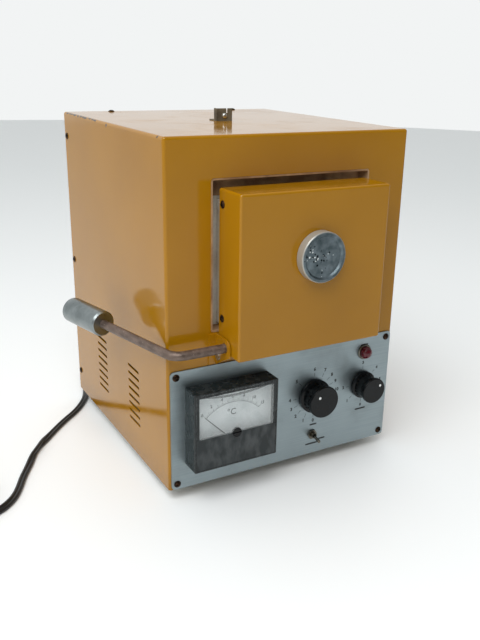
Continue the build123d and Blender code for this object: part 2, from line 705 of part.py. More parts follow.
with BuildPart() as insulation_top:
    with BuildSketch(facing(-MUFFLE_IN, up=(CORE_HIGH + PACK_HIGH) / 2)):
        Rectangle(CORE_W, PACK_HIGH - CORE_HIGH)
    extrude(amount=-pack_l)
    with BuildSketch(Plane.XY.offset(ROOF_Z)):
        with Locations((VENT_X, VENT_Y)):
            Circle(VENT_R + AIR)
    extrude(amount=-CASE_H / 2, mode=Mode.SUBTRACT)
insulation_top.part.label = "insulation_top"
export_step(insulation_top.part, "parts/insulation_top.step")

with BuildPart() as insulation_rear:
    with BuildSketch(facing(-MUFFLE_END)):
        with Locations((0, (PACK_LOW + PACK_HIGH) / 2)):
            Rectangle(PACK_W, PACK_HIGH - PACK_LOW)
        with Locations((PROBE_X, PROBE_UP)):
            Circle(PROBE_R + AIR, mode=Mode.SUBTRACT)
    extrude(amount=-REAR_PACK)
insulation_rear.part.label = "insulation_rear"
export_step(insulation_rear.part, "parts/insulation_rear.step")

# Thermocouple: ceramic sheath through the rear packing, with its terminal head outside
probe_back = MUFFLE_END + REAR_PACK
with BuildPart() as thermocouple:
    with BuildSketch(facing(-probe_back, x=PROBE_X, up=PROBE_UP)):
        Circle(PROBE_R)
    extrude(amount=REAR_PACK + MUFFLE_WALL + PROBE_IN)
    fillet(thermocouple.edges().group_by(Axis.Y)[0], PROBE_TIP_R)
    with BuildSketch(facing(-probe_back, x=PROBE_X, up=PROBE_UP)):
        Circle(PROBE_HEAD_R)
    extrude(amount=-PROBE_HEAD_L)
thermocouple.part.label = "thermocouple"
export_step(thermocouple.part, "parts/thermocouple.step")

# Terminal block on the base plate, where the lead ends
terminal_pitch = TERMINAL_W / TERMINAL_WAYS
with BuildPart() as terminal_block:
    with BuildSketch(Plane.XY.offset(FOOT_H + SKIN)):
        with Locations((TERMINAL_X, TERMINAL_Y)):
            Rectangle(TERMINAL_W, TERMINAL_D)
    extrude(amount=TERMINAL_H)
    with BuildSketch(Plane.XY.offset(FOOT_H + SKIN + TERMINAL_H)):
        with Locations((TERMINAL_X, TERMINAL_Y)):
            with GridLocations(terminal_pitch, 1, TERMINAL_WAYS, 1):
                Circle(terminal_pitch / 4)
    extrude(amount=-TERMINAL_H / 2, mode=Mode.SUBTRACT)
terminal_block.part.label = "terminal_block"
export_step(terminal_block.part, "parts/terminal_block.step")

# Vent: a tube from the chamber's roof up through the case
vent_low = FOOT_H + MUFFLE_UP + MUFFLE_H
with BuildPart() as vent_tube:
    with BuildSketch(Plane.XY.offset(vent_low)):
        with Locations((VENT_X, VENT_Y)):
            Circle(VENT_R)
            Circle(VENT_BORE_R, mode=Mode.SUBTRACT)
    extrude(amount=ROOF_Z + VENT_PROUD - vent_low)
vent_tube.part.label = "vent_tube"
export_step(vent_tube.part, "parts/vent_tube.step")

# Vent bracket: folded sheet with a foot round the tube, an upright plate and a side return
bracket_front = VENT_Y - VENT_R - AIR - BRACKET_T - BRACKET_CLEAR
with BuildPart() as vent_bracket:
    with BuildSketch(Plane.XY.offset(ROOF_Z)):
        with Locations((VENT_X, bracket_front + BRACKET_L / 2)):
            Rectangle(BRACKET_W, BRACKET_L)
        with Locations((VENT_X, VENT_Y)):
            Circle(VENT_R + AIR, mode=Mode.SUBTRACT)
    extrude(amount=BRACKET_T)
    with BuildSketch(Plane.XZ.offset(-bracket_front)):
        with Locations((VENT_X, ROOF_Z + BRACKET_H / 2)):
            Rectangle(BRACKET_W, BRACKET_H)
        with Locations((VENT_X + BRACKET_NOTCH_SIDE, ROOF_Z + BRACKET_H - BRACKET_NOTCH_H / 2)):
            Rectangle(BRACKET_NOTCH_W, BRACKET_NOTCH_H, mode=Mode.SUBTRACT)
        with Locations((VENT_X, ROOF_Z + BRACKET_SCREW_UP)):
            Circle(SCREW_R - FIT, mode=Mode.SUBTRACT)
    extrude(amount=-BRACKET_T)
    with BuildSketch(Plane.XY.offset(ROOF_Z)):
        with Locations((VENT_X - BRACKET_W / 2 + BRACKET_T / 2, bracket_front + BRACKET_RETURN / 2)):
            Rectangle(BRACKET_T, BRACKET_RETURN)
    extrude(amount=BRACKET_H)
vent_bracket.part.label = "vent_bracket"
export_step(vent_bracket.part, "parts/vent_bracket.step")

# Vent screw: dome head on the bracket's upright plate
with BuildPart() as vent_screw:
    with BuildSketch(Plane.XZ.offset(-bracket_front)):
        with Locations((VENT_X, ROOF_Z + BRACKET_SCREW_UP)):
            Circle(BRACKET_SCREW_R)
    extrude(amount=DOME_H)
    fillet(vent_screw.edges().group_by(Axis.Y)[0], DOME_H * ROUNDING)
    with BuildSketch(Plane.XZ.offset(-bracket_front)):
        with Locations((VENT_X, ROOF_Z + BRACKET_SCREW_UP)):
            Circle(SCREW_R - 2 * FIT)
    extrude(amount=-BRACKET_T - BRACKET_SCREW_TIP)
vent_screw.part.label = "vent_screw"
export_step(vent_screw.part, "parts/vent_screw.step")

# Door pan: five-sided enamelled cover, open at the back
door_mid_up = DOOR_UP + DOOR_H / 2
with BuildPart() as door_pan:
    with BuildSketch(facing(DOOR_GAP, up=door_mid_up)):
        Rectangle(DOOR_W, DOOR_H)
    extrude(amount=DOOR_T)
    fillet(door_pan.edges().filter_by(Axis.Y) + door_pan.edges().group_by(Axis.Y)[0], DOOR_EDGE_R)
    offset(amount=-DOOR_SKIN, openings=door_pan.faces().sort_by(Axis.Y)[-1])
    with BuildSketch(facing(DOOR_FACE, x=SIGHT_X, up=SIGHT_UP)):
        Circle(SIGHT_TUBE_R + FIT)
    extrude(amount=-2 * DOOR_SKIN, mode=Mode.SUBTRACT)
    with BuildSketch(sideways(0)):
        with Locations((HINGE_Y, HINGE_UP)):
            Circle(ROD_R + RUN)
        with Locations(
            (FRONT_Y - DOOR_GAP - DOOR_SCREW_IN, DOOR_UP + DOOR_SCREW_LOW),
            (FRONT_Y - DOOR_GAP - DOOR_SCREW_IN, DOOR_UP + DOOR_SCREW_HIGH),
        ):
            Circle(SCREW_R + FIT)
    extrude(amount=DOOR_W, both=True, mode=Mode.SUBTRACT)
door_pan.part.label = "door_pan"
export_step(door_pan.part, "parts/door_pan.step")

# Door block: stepped insulating block, wide inside the pan, narrow where it enters the recess
wide_low = HINGE_UP + ROD_R + BLOCK_ROD_GAP
wide_high = DOOR_UP + DOOR_H - DOOR_SKIN - AIR
wide_w = DOOR_W - 2 * (DOOR_SKIN + AIR)
step_front = DOOR_GAP + TRAY_T + TRAY_FLANGE + AIR
block_in = BOARD_IN - PLUG_FACE_GAP
with BuildPart() as door_block:
    with BuildSketch(facing(step_front, up=(wide_low + wide_high) / 2)):
        Rectangle(wide_w, wide_high - wide_low)
    extrude(amount=DOOR_FACE - DOOR_SKIN - AIR - step_front)
    with BuildSketch(facing(step_front, up=(PLUG_LOW + PLUG_HIGH) / 2)):
        Rectangle(PLUG_BLOCK_W, PLUG_HIGH - PLUG_LOW)
    extrude(amount=-step_front - block_in)
    fillet(door_block.edges().group_by(Axis.Y)[-1], BLOCK_EDGE_R)
    with BuildSketch(facing(DOOR_FACE, x=SIGHT_X, up=SIGHT_UP)):
        Circle(SIGHT_TUBE_R + FIT)
    extrude(amount=-DOOR_FACE - BOARD_IN, mode=Mode.SUBTRACT)
door_block.part.label = "door_block"
export_step(door_block.part, "parts/door_block.step")

# Door tray: flanged steel frame that closes the pan round the block
tray_w = DOOR_W - 2 * (DOOR_SKIN + AIR)
tray_h = DOOR_H - 2 * (DOOR_SKIN + AIR)
with BuildPart() as door_tray:
    with BuildSketch(facing(DOOR_GAP, up=door_mid_up)):
        Rectangle(tray_w, tray_h)
        with Locations((0, (PLUG_LOW + PLUG_HIGH) / 2 - door_mid_up)):
            Rectangle(PLUG_BLOCK_W + 2 * AIR, PLUG_HIGH - PLUG_LOW + 2 * AIR, mode=Mode.SUBTRACT)
    extrude(amount=TRAY_T)
    with BuildSketch(facing(DOOR_GAP + TRAY_T, up=door_mid_up)):
        Rectangle(tray_w, tray_h)
        Rectangle(tray_w - 2 * TRAY_T, tray_h - 2 * TRAY_T, mode=Mode.SUBTRACT)
    extrude(amount=TRAY_FLANGE)
    with BuildSketch(sideways(0)):
        with Locations(
            (FRONT_Y - DOOR_GAP - DOOR_SCREW_IN, DOOR_UP + DOOR_SCREW_LOW),
            (FRONT_Y - DOOR_GAP - DOOR_SCREW_IN, DOOR_UP + DOOR_SCREW_HIGH),
        ):
            Circle(SCREW_R + FIT)
    extrude(amount=DOOR_W, both=True, mode=Mode.SUBTRACT)
door_tray.part.label = "door_tray"
export_step(door_tray.part, "parts/door_tray.step")

# Door screws: two dome screws in each side of the pan
with BuildPart() as door_screws:
    for side in (-1, 1):
        for rise in (DOOR_SCREW_LOW, DOOR_SCREW_HIGH):
            place = (FRONT_Y - DOOR_GAP - DOOR_SCREW_IN, DOOR_UP + rise)
            with BuildSketch(sideways(side * DOOR_W / 2)):
                with Locations(place):
                    Circle(DOME_R - 2 * FIT)
            extrude(amount=side * DOME_H)
            with BuildSketch(sideways(side * DOOR_W / 2)):
                with Locations(place):
                    Circle(SCREW_R)
            extrude(amount=-side * (DOOR_SKIN + AIR + TRAY_T + DOOR_SCREW_TIP))
    outer = [e for e in door_screws.edges() if abs(e.center().X) > DOOR_W / 2 + FIT]
    fillet([e for e in outer if e.geom_type == GeomType.CIRCLE], DOME_H * ROUNDING)
door_screws.part.label = "door_screws"
export_step(door_screws.part, "parts/door_screws.step")

# Sight tube through the door
with BuildPart() as sight_tube:
    with BuildSketch(facing(DOOR_FACE, x=SIGHT_X, up=SIGHT_UP)):
        Circle(SIGHT_TUBE_R)
        Circle(SIGHT_BORE_R + 2 * RUN, mode=Mode.SUBTRACT)
    extrude(amount=-DOOR_FACE - block_in)
sight_tube.part.label = "sight_tube"
export_step(sight_tube.part, "parts/sight_tube.step")

# Sight plug: turned aluminium disc with a raised rim, on a stem that slides in the tube
with BuildPart() as sight_plug:
    with BuildSketch(turning(DOOR_FACE + AIR, SIGHT_X, SIGHT_UP)):
        with BuildLine():
            Polyline(
                (0, -SIGHT_STEM_L),
                (SIGHT_BORE_R, -SIGHT_STEM_L),
                (SIGHT_BORE_R, 0),
                (SIGHT_DISC_R, 0),
                (SIGHT_DISC_R, SIGHT_DISC_T),
                (SIGHT_DISC_R - SIGHT_RIM, SIGHT_DISC_T),
                (SIGHT_DISC_R - SIGHT_RIM - SIGHT_DISH, SIGHT_DISC_T - SIGHT_DISH),
                (0, SIGHT_DISC_T - SIGHT_DISH),
                close=True,
            )
        make_face()
    revolve(axis=outward(DOOR_FACE, SIGHT_X, SIGHT_UP))
    rims = sight_plug.edges().filter_by(GeomType.CIRCLE).group_by(Axis.Y)
    chamfer(rims[0].sort_by(SortBy.RADIUS)[-1], SIGHT_BACK_BEVEL)
    chamfer(rims[-1], SIGHT_RIM_BEVEL)
sight_plug.part.label = "sight_plug"
export_step(sight_plug.part, "parts/sight_plug.step")

# Lever rod: hinge shaft and lever in one bent bar
yaw = math.radians(LEVER_YAW)
lever_dir = Vector(-math.sin(yaw), math.cos(yaw), 0)
corner_x = -CASE_W / 2 - LEVER_CLEAR - ROD_R / math.cos(yaw) + math.tan(yaw) * HINGE_FRONT
rod_corner = Vector(corner_x, HINGE_Y, HINGE_Z)
rod_start = Vector(ear_inner + EAR_T + ROD_END, HINGE_Y, HINGE_Z)
rod_tip = rod_corner + lever_dir * (GRIP_AT + GRIP_HOLD)
with BuildPart() as lever_rod:
    with BuildLine() as rod_line:
        FilletPolyline(rod_start, rod_corner, rod_tip, radius=ROD_BEND_R)
    with BuildSketch(Plane(origin=rod_start, z_dir=(-1, 0, 0))):
        Circle(ROD_R)
    sweep(path=rod_line.wires()[0])
    chamfer(lever_rod.edges().group_by(Axis.X)[-1], ROD_BEVEL)
lever_rod.part.label = "lever_rod"
export_step(lever_rod.part, "parts/lever_rod.step")

# Lever grip: steel cylinder that is handle and counterweight
grip_plane = Plane(origin=rod_corner + lever_dir * GRIP_AT, z_dir=lever_dir)
screw_plane = Plane(origin=grip_plane.origin + lever_dir * GRIP_SCREW_AT, z_dir=(0, 0, -1))
with BuildPart() as lever_grip:
    with BuildSketch(grip_plane):
        Circle(GRIP_R)
    extrude(amount=GRIP_L)
    chamfer(lever_grip.edges().filter_by(GeomType.CIRCLE), GRIP_CHAMFER)
    with BuildSketch(grip_plane):
        Circle(ROD_R + RUN)
    extrude(amount=GRIP_HOLD + AIR, mode=Mode.SUBTRACT)
    with BuildSketch(screw_plane):
        Circle(GRIP_SCREW_R + RUN)
    extrude(amount=GRIP_R, mode=Mode.SUBTRACT)
lever_grip.part.label = "lever_grip"
export_step(lever_grip.part, "parts/lever_grip.step")

# Grip screw: grub screw from below, on the rod
with BuildPart() as grip_screw:
    with BuildSketch(screw_plane.offset(ROD_R + RUN)):
        Circle(GRIP_SCREW_R)
    extrude(amount=GRIP_R - ROD_R - GRIP_SCREW_SUNK)
grip_screw.part.label = "grip_screw"
export_step(grip_screw.part, "parts/grip_screw.step")

# Meter case: smoked moulding, a square front on a round body through the panel
meter_front = PANEL_T + METER_PROUD
cavity_w = METER_W - 2 * METER_WALL
cavity_h = METER_H - 2 * METER_WALL
cavity_low = METER_UP - cavity_h / 2
cavity_high = METER_UP + cavity_h / 2
with BuildPart() as meter_case:
    with BuildSketch(facing(PANEL_T, x=METER_X, up=METER_UP)):
        RectangleRounded(METER_W, METER_H, METER_R)
    extrude(amount=METER_PROUD)
    fillet(meter_case.edges().group_by(Axis.Y)[0], METER_WALL / 2)
    with BuildSketch(facing(meter_front, x=METER_X, up=METER_UP)):
        Rectangle(cavity_w, cavity_h)
    extrude(amount=METER_WALL - METER_PROUD, mode=Mode.SUBTRACT)
    with BuildSketch(facing(PANEL_T, x=METER_X, up=METER_UP)):
        Circle(METER_BODY_R)
    extrude(amount=-PANEL_T - METER_BODY_L)
    with BuildSketch(facing(meter_front - WINDOW_T - ARCH_T, x=METER_X, up=cavity_high)):
        with BuildLine():
            upper = SagittaArc((-cavity_w / 2, 0), (cavity_w / 2, 0), -ARCH_SAG)
            lower = SagittaArc((-cavity_w / 2, -ARCH_W), (cavity_w / 2, -ARCH_W), -ARCH_SAG)
            Line(upper @ 0, lower @ 0)
            Line(upper @ 1, lower @ 1)
        make_face()
    extrude(amount=ARCH_T - FIT)
meter_case.part.label = "meter_case"
export_step(meter_case.part, "parts/meter_case.step")

# Meter window: clear front over the dial
adjuster_up = WINDOW_UP - ADJUSTER_DROP
with BuildPart() as meter_window:
    with BuildSketch(facing(meter_front - WINDOW_T, x=METER_X)):
        with Locations((0, (WINDOW_UP + cavity_high) / 2)):
            Rectangle(cavity_w - 2 * FIT, cavity_high - WINDOW_UP - 2 * FIT)
        with Locations((0, adjuster_up)):
            Circle(ADJUSTER_R + FIT, mode=Mode.SUBTRACT)
    extrude(amount=WINDOW_T - FIT)
meter_window.part.label = "meter_window"
export_step(meter_window.part, "parts/meter_window.step")

# Meter cover: dark lower front that hides the movement
with BuildPart() as meter_cover:
    with BuildSketch(facing(meter_front - COVER_T, x=METER_X)):
        with Locations((0, (WINDOW_UP + cavity_low) / 2)):
            Rectangle(cavity_w - 2 * FIT, WINDOW_UP - cavity_low - 2 * FIT)
        with Locations((0, adjuster_up)):
            Circle(ADJUSTER_R + FIT, mode=Mode.SUBTRACT)
    extrude(amount=COVER_T)
meter_cover.part.label = "meter_cover"
export_step(meter_cover.part, "parts/meter_cover.step")

# Meter movement: coil and magnet behind the dial, with the pivot in front
dial_back = meter_front - DIAL_DEEP - DIAL_T
with BuildPart() as meter_movement:
    with BuildSketch(facing(PANEL_T + METER_WALL, x=METER_X, up=PIVOT_UP)):
        Circle(MOVEMENT_R)
    extrude(amount=dial_back - PANEL_T - METER_WALL)
    with BuildSketch(facing(dial_back, x=METER_X, up=PIVOT_UP)):
        Circle(PIVOT_R)
    extrude(amount=DIAL_T + PIVOT_PROUD)
meter_movement.part.label = "meter_movement"
export_step(meter_movement.part, "parts/meter_movement.step")

# Meter dial: white scale plate
with BuildPart() as meter_dial:
    with BuildSketch(facing(dial_back, x=METER_X, up=METER_UP)):
        Rectangle(cavity_w - 2 * AIR, cavity_h - 2 * AIR)
        with Locations((0, PIVOT_UP - METER_UP)):
            Circle(PIVOT_R + FIT, mode=Mode.SUBTRACT)
    extrude(amount=DIAL_T)
meter_dial.part.label = "meter_dial"
export_step(meter_dial.part, "parts/meter_dial.step")

# Meter needle: hub and tapered blade, lying at zero on the left
needle_front = meter_front - DIAL_DEEP + PIVOT_PROUD + AIR
pivot = facing(needle_front, x=METER_X, up=PIVOT_UP)
zero = Plane(pivot.location * Location((0, 0, 0), (0, 0, NEEDLE_ZERO)))
with BuildPart() as meter_needle:
    with BuildSketch(zero):
        Circle(NEEDLE_HUB_R)
        with BuildLine():
            Polyline(
                (-NEEDLE_ROOT_W / 2, 0),
                (-NEEDLE_TIP_W / 2, NEEDLE_L),
                (NEEDLE_TIP_W / 2, NEEDLE_L),
                (NEEDLE_ROOT_W / 2, 0),
                close=True,
            )
        make_face()
    extrude(amount=NEEDLE_T)
meter_needle.part.label = "meter_needle"
export_step(meter_needle.part, "parts/meter_needle.step")

# Zero adjuster: slotted disc with a pin, between window and cover
with BuildPart() as zero_adjuster:
    with BuildSketch(facing(meter_front - ADJUSTER_T, x=METER_X, up=adjuster_up)):
        Circle(ADJUSTER_R)
    extrude(amount=ADJUSTER_T)
    with BuildSketch(facing(meter_front, x=METER_X, up=adjuster_up)):
        Rectangle(2 * ADJUSTER_R, ADJUSTER_SLOT)
    extrude(amount=-ADJUSTER_T / 2, mode=Mode.SUBTRACT)
    with BuildSketch(facing(meter_front - ADJUSTER_T, x=METER_X, up=adjuster_up)):
        Circle(ADJUSTER_SLOT)
    extrude(amount=-ADJUSTER_T)
zero_adjuster.part.label = "zero_adjuster"
export_step(zero_adjuster.part, "parts/zero_adjuster.step")

# Knobs, shafts and the units that they turn
controls = (
    ("regulator", REGULATOR_X, REGULATOR_UP, REGULATOR_R, REGULATOR_H, REGULATOR_BODY),
    ("selector", SELECTOR_X, SELECTOR_UP, SELECTOR_R, SELECTOR_H, SELECTOR_BODY),
)
for name, x, up, radius, height, body in controls:
    waist = radius * KNOB_WAIST
    crown = radius * KNOB_CROWN
    root = waist + KNOB_SHOULDER
    above_skirt = KNOB_SKIRT + KNOB_SHOULDER
    with BuildPart() as knob:
        with BuildSketch(turning(PANEL_T + KNOB_LIFT, x, up)):
            with BuildLine():
                Line((0, 0), (radius, 0))
                Line((radius, 0), (radius, KNOB_SKIRT))
                shoulder = Line((radius, KNOB_SKIRT), (root, above_skirt))
                middle = (waist, height * KNOB_WAIST_AT)
                grip = ThreePointArc(shoulder @ 1, middle, (crown, height - KNOB_SKIRT))
                Line(grip @ 1, (crown, height))
                Line((crown, height), (0, height))
                Line((0, height), (0, 0))
            make_face()
        revolve(axis=outward(PANEL_T, x, up))
        rims = knob.edges().filter_by(GeomType.CIRCLE)
        fillet(rims.group_by(Axis.Y)[0], KNOB_EDGE_R)
        fillet(rims.group_by(Axis.Y)[-1], KNOB_EDGE_R / 2)
        with BuildSketch(facing(PANEL_T + KNOB_LIFT + above_skirt, x=x, up=up)):
            with PolarLocations(root, KNOB_FLUTES):
                Circle(KNOB_FLUTE_R)
        extrude(amount=height - KNOB_SKIRT - above_skirt, mode=Mode.SUBTRACT)
        with BuildSketch(facing(PANEL_T + KNOB_LIFT, x=x, up=up)):
            Circle(BUSHING_R + AIR)
        extrude(amount=BUSHING_PROUD + AIR, mode=Mode.SUBTRACT)
        with BuildSketch(facing(PANEL_T + KNOB_LIFT, x=x, up=up)):
            Circle(SHAFT_R + RUN)
        extrude(amount=height - KNOB_SKIRT + FIT, mode=Mode.SUBTRACT)
    knob.part.label = f"{name}_knob"
    export_step(knob.part, f"parts/{name}_knob.step")

    with BuildPart() as shaft:
        with BuildSketch(facing(-CONTROL_DEEP / 2, x=x, up=up)):
            Circle(SHAFT_R)
        extrude(amount=CONTROL_DEEP / 2 + PANEL_T + KNOB_LIFT + height - KNOB_SKIRT)
    shaft.part.label = f"{name}_shaft"
    export_step(shaft.part, f"parts/{name}_shaft.step")

    with BuildPart() as unit:
        with BuildSketch(facing(0, x=x, up=up)):
            RectangleRounded(body, body, METER_R)
        extrude(amount=-CONTROL_DEEP)
        with BuildSketch(facing(0, x=x, up=up)):
            Circle(BUSHING_R)
        extrude(amount=PANEL_T + BUSHING_PROUD)
        with BuildSketch(facing(PANEL_T + BUSHING_PROUD, x=x, up=up)):
            Circle(SHAFT_R + RUN)
        extrude(amount=-PANEL_T - BUSHING_PROUD - CONTROL_DEEP / 2 - AIR, mode=Mode.SUBTRACT)
    unit.part.label = f"{name}_unit"
    export_step(unit.part, f"parts/{name}_unit.step")

# Pilot lamp: bezel, domed lens and the lamp behind them
with BuildPart() as pilot_bezel:
    with BuildSketch(facing(PANEL_T, x=LAMP_X, up=LAMP_UP)):
        Circle(BEZEL_R)
        Circle(LENS_R + FIT, mode=Mode.SUBTRACT)
    extrude(amount=BEZEL_T)
    chamfer(pilot_bezel.edges().group_by(Axis.Y)[0].sort_by(SortBy.RADIUS)[-1], BEZEL_T / 3)
pilot_bezel.part.label = "pilot_bezel"
export_step(pilot_bezel.part, "parts/pilot_bezel.step")

with BuildPart() as pilot_lens:
    with BuildSketch(turning(PANEL_T, LAMP_X, LAMP_UP)):
        with BuildLine():
            Line((0, 0), (LENS_R, 0))
            Line((LENS_R, 0), (LENS_R, LENS_SIDE))
            dome = TangentArc((0, LENS_SIDE + LENS_DOME), (LENS_R, LENS_SIDE), tangent=(1, 0))
            Line(dome @ 0, (0, 0))
        make_face()
    revolve(axis=outward(PANEL_T, LAMP_X, LAMP_UP))
pilot_lens.part.label = "pilot_lens"
export_step(pilot_lens.part, "parts/pilot_lens.step")

with BuildPart() as lamp_body:
    with BuildSketch(facing(PANEL_T, x=LAMP_X, up=LAMP_UP)):
        Circle(LAMP_R)
    extrude(amount=-PANEL_T - LAMP_L)
    with BuildSketch(facing(0, x=LAMP_X, up=LAMP_UP)):
        RegularPolygon(LAMP_NUT_R, 6)
    extrude(amount=-NUT_H)
lamp_body.part.label = "lamp_body"
export_step(lamp_body.part, "parts/lamp_body.step")

# Toggle switch: threaded bushing with its nut, body behind, bat lever in front
with BuildPart() as toggle_bushing:
    with BuildSketch(facing(0, x=TOGGLE_X, up=TOGGLE_UP)):
        Circle(TOGGLE_R)
        Circle(TOGGLE_BORE_R, mode=Mode.SUBTRACT)
    extrude(amount=PANEL_T + TOGGLE_PROUD)
    with BuildSketch(facing(PANEL_T, x=TOGGLE_X, up=TOGGLE_UP)):
        RegularPolygon(TOGGLE_NUT_R, 6)
        Circle(TOGGLE_R + RUN, mode=Mode.SUBTRACT)
    extrude(amount=TOGGLE_NUT_T)
toggle_bushing.part.label = "toggle_bushing"
export_step(toggle_bushing.part, "parts/toggle_bushing.step")

with BuildPart() as toggle_body:
    with BuildSketch(facing(0, x=TOGGLE_X, up=TOGGLE_UP)):
        Rectangle(TOGGLE_BODY_W, TOGGLE_BODY_H)
    extrude(amount=-TOGGLE_BODY_L)
toggle_body.part.label = "toggle_body"
export_step(toggle_body.part, "parts/toggle_body.step")

toggle_axis = facing(PANEL_T + TOGGLE_PIVOT, x=TOGGLE_X, up=TOGGLE_UP)
tilted = Plane(toggle_axis.location * Location((0, 0, 0), (TOGGLE_TILT, 0, 0)))
with BuildPart() as toggle_lever:
    with Locations(tilted):
        Sphere(TOGGLE_BALL_R)
    with BuildSketch(tilted):
        Circle(TOGGLE_ROOT_R)
    with BuildSketch(tilted.offset(TOGGLE_L)):
        Circle(TOGGLE_TIP_R)
    loft()
    fillet(toggle_lever.edges().group_by(Axis.Y)[0], TOGGLE_TIP_R * ROUNDING)
toggle_lever.part.label = "toggle_lever"
export_step(toggle_lever.part, "parts/toggle_lever.step")

# Cord gland in the rear panel, and the tapered relief on the lead
with BuildPart() as cord_gland:
    with BuildSketch(Plane.XZ.offset(-REAR_Y)):
        with Locations((GLAND_X, FOOT_H + GLAND_UP)):
            Circle(GLAND_R)
    extrude(amount=-GLAND_T)
    chamfer(cord_gland.edges().group_by(Axis.Y)[-1], GLAND_T / 3)
    with BuildSketch(Plane.XZ.offset(-REAR_Y)):
        with Locations((GLAND_X, FOOT_H + GLAND_UP)):
            Circle(GLAND_THREAD_R)
    extrude(amount=SKIN + NUT_H)
cord_gland.part.label = "cord_gland"
export_step(cord_gland.part, "parts/cord_gland.step")

with BuildPart() as cord_relief:
    with BuildSketch(Plane.XZ.offset(-REAR_Y - GLAND_T)):
        with Locations((GLAND_X, FOOT_H + GLAND_UP)):
            Circle(RELIEF_ROOT_R)
    with BuildSketch(Plane.XZ.offset(-REAR_Y - GLAND_T - RELIEF_L)):
        with Locations((GLAND_X, FOOT_H + GLAND_UP)):
            Circle(RELIEF_TIP_R)
    loft()
cord_relief.part.label = "cord_relief"
export_step(cord_relief.part, "parts/cord_relief.step")

# Mains lead: out of the relief, down to the floor, past the rear left corner and away to the left
exit_y = REAR_Y + GLAND_T + RELIEF_L
exit_z = FOOT_H + GLAND_UP
coil_entry = (COIL_X + 2 * CORD_R, COIL_Y - COIL_R)
route = [
    (GLAND_X, exit_y, exit_z),
    (GLAND_X, exit_y + 12.0, exit_z),
    (-35.0, exit_y + 26.0, 37.0),
    (-38.5, exit_y + 39.5, 31.0),
    (-45.5, exit_y + 50.5, 22.5),
    (-55.5, exit_y + 58.0, 14.0),
    (-67.5, exit_y + 61.0, 7.5),
    (-80.0, exit_y + 58.5, 4.0),
    (-91.0, 212.0, CORD_R),
    (-99.0, 200.5, CORD_R),
    (-104.5, 187.0, CORD_R),
    (-108.5, 172.0, CORD_R),
    (-112.5, 155.0, CORD_R),
    (-117.0, 138.0, CORD_R),
    (-123.5, 121.0, CORD_R),
    (-134.0, 104.0, CORD_R),
    (-146.5, 88.5, CORD_R),
    (-161.0, 75.0, CORD_R),
    (-176.0, 59.0, CORD_R),
    (-191.0, 41.0, CORD_R),
    (-204.0, 24.5, CORD_R),
    (-214.5, 8.5, CORD_R),
    (-224.0, -9.5, CORD_R),
    (-234.0, -27.5, CORD_R),
    (-242.0, -46.0, CORD_R),
    (-251.5, -63.0, CORD_R),
    (-265.0, -76.5, CORD_R),
    (-283.0, -84.5, CORD_R),
    (-300.0, coil_entry[1], CORD_R),
    (coil_entry[0], coil_entry[1], CORD_R),
]
points = [Vector(*p) for p in route]
radii = []
turns = []
for before, here, after in zip(points, points[1:], points[2:]):
    turn = math.radians((here - before).get_angle(after - here))
    shorter = min((here - before).length, (after - here).length)
    radii.append(0.45 * shorter / math.tan(turn / 2))
    turns.append(turn)
with BuildPart() as mains_cord:
    with BuildLine() as cord_line:
        FilletPolyline(*points, radius=radii)
    with BuildSketch(Plane(origin=points[0], z_dir=points[1] - points[0])):
        Circle(CORD_R)
    sweep(path=cord_line.wires()[0])
mains_cord.part.label = "mains_cord"
export_step(mains_cord.part, "parts/mains_cord.step")
cord_length = cord_line.wires()[0].length
print("cord bend radii", [round(r) for r in radii])
print("cord turns", [round(math.degrees(t)) for t in turns])
print("cord length", round(cord_length), "volume share",
      round(mains_cord.part.volume / (math.pi * CORD_R ** 2 * cord_length), 4))

# Coil of the put-away length: half turns spiral in, climb at the middle and spiral out above,
# and the last one lies wide to come down beside the coil
half_turns = 2 * COIL_HALF_TURNS + 1
with BuildPart() as cord_coil:
    with BuildLine() as coil_line:
        here = Vector(COIL_X + 2 * CORD_R, COIL_Y - COIL_R, CORD_R)
        last = Line(here, here - Vector(2 * CORD_R, 0, 0))
        side = 1
        for turn in range(half_turns):
            inward = min(turn, half_turns - 1 - turn)
            slack = max(0, turn - (half_turns - 3))
            radius = COIL_R + (slack - inward) * COIL_PITCH / 2
            rise = 0
            if turn == COIL_HALF_TURNS:
                rise = COIL_RISE
            if turn == half_turns - 1:
                rise = PLUG_H / 2 - CORD_R - COIL_RISE
            start = last @ 1
            stop = start + Vector(0, side * 2 * radius, rise)
            middle = (start + stop) / 2 - Vector(side * radius, 0, 0)
            last = ThreePointArc(start, middle, stop)
            side = -side
        tail_start = last @ 1
        tail = Line(tail_start, tail_start + Vector(2 * CORD_R, 0, 0))
    with BuildSketch(Plane(origin=here, z_dir=(-1, 0, 0))):
        Circle(CORD_R)
    sweep(path=coil_line.wires()[0])
cord_coil.part.label = "cord_coil"
export_step(cord_coil.part, "parts/cord_coil.step")
coil_wire = coil_line.wires()[0]
samples = [coil_wire @ (i / SAMPLES) for i in range(SAMPLES + 1)]
step = coil_wire.length / SAMPLES
apart = int(math.pi * (COIL_R - COIL_HALF_TURNS * COIL_PITCH / 2) / step)
pairs = [(a, b) for i, a in enumerate(samples) for b in samples[i + apart:]]
least = min((a - b).length for a, b in pairs)
print("coil length", round(coil_wire.length), "least gap", round(least - 2 * CORD_R, 2))

# Mains plug: moulded two-blade plug lying beside the coil
tail_end = tail @ 1
with BuildPart() as mains_plug:
    with BuildSketch(Plane(origin=tail_end, z_dir=(1, 0, 0))):
        Circle(PLUG_NECK_R)
    extrude(amount=PLUG_NECK_L)
    with BuildSketch(Plane(origin=tail_end + Vector(PLUG_NECK_L, 0, 0), x_dir=(0, 1, 0), z_dir=(1, 0, 0))):
        RectangleRounded(PLUG_W, PLUG_H, PLUG_H / 4)
    extrude(amount=PLUG_L - PLUG_NECK_L)
mains_plug.part.label = "mains_plug"
export_step(mains_plug.part, "parts/mains_plug.step")

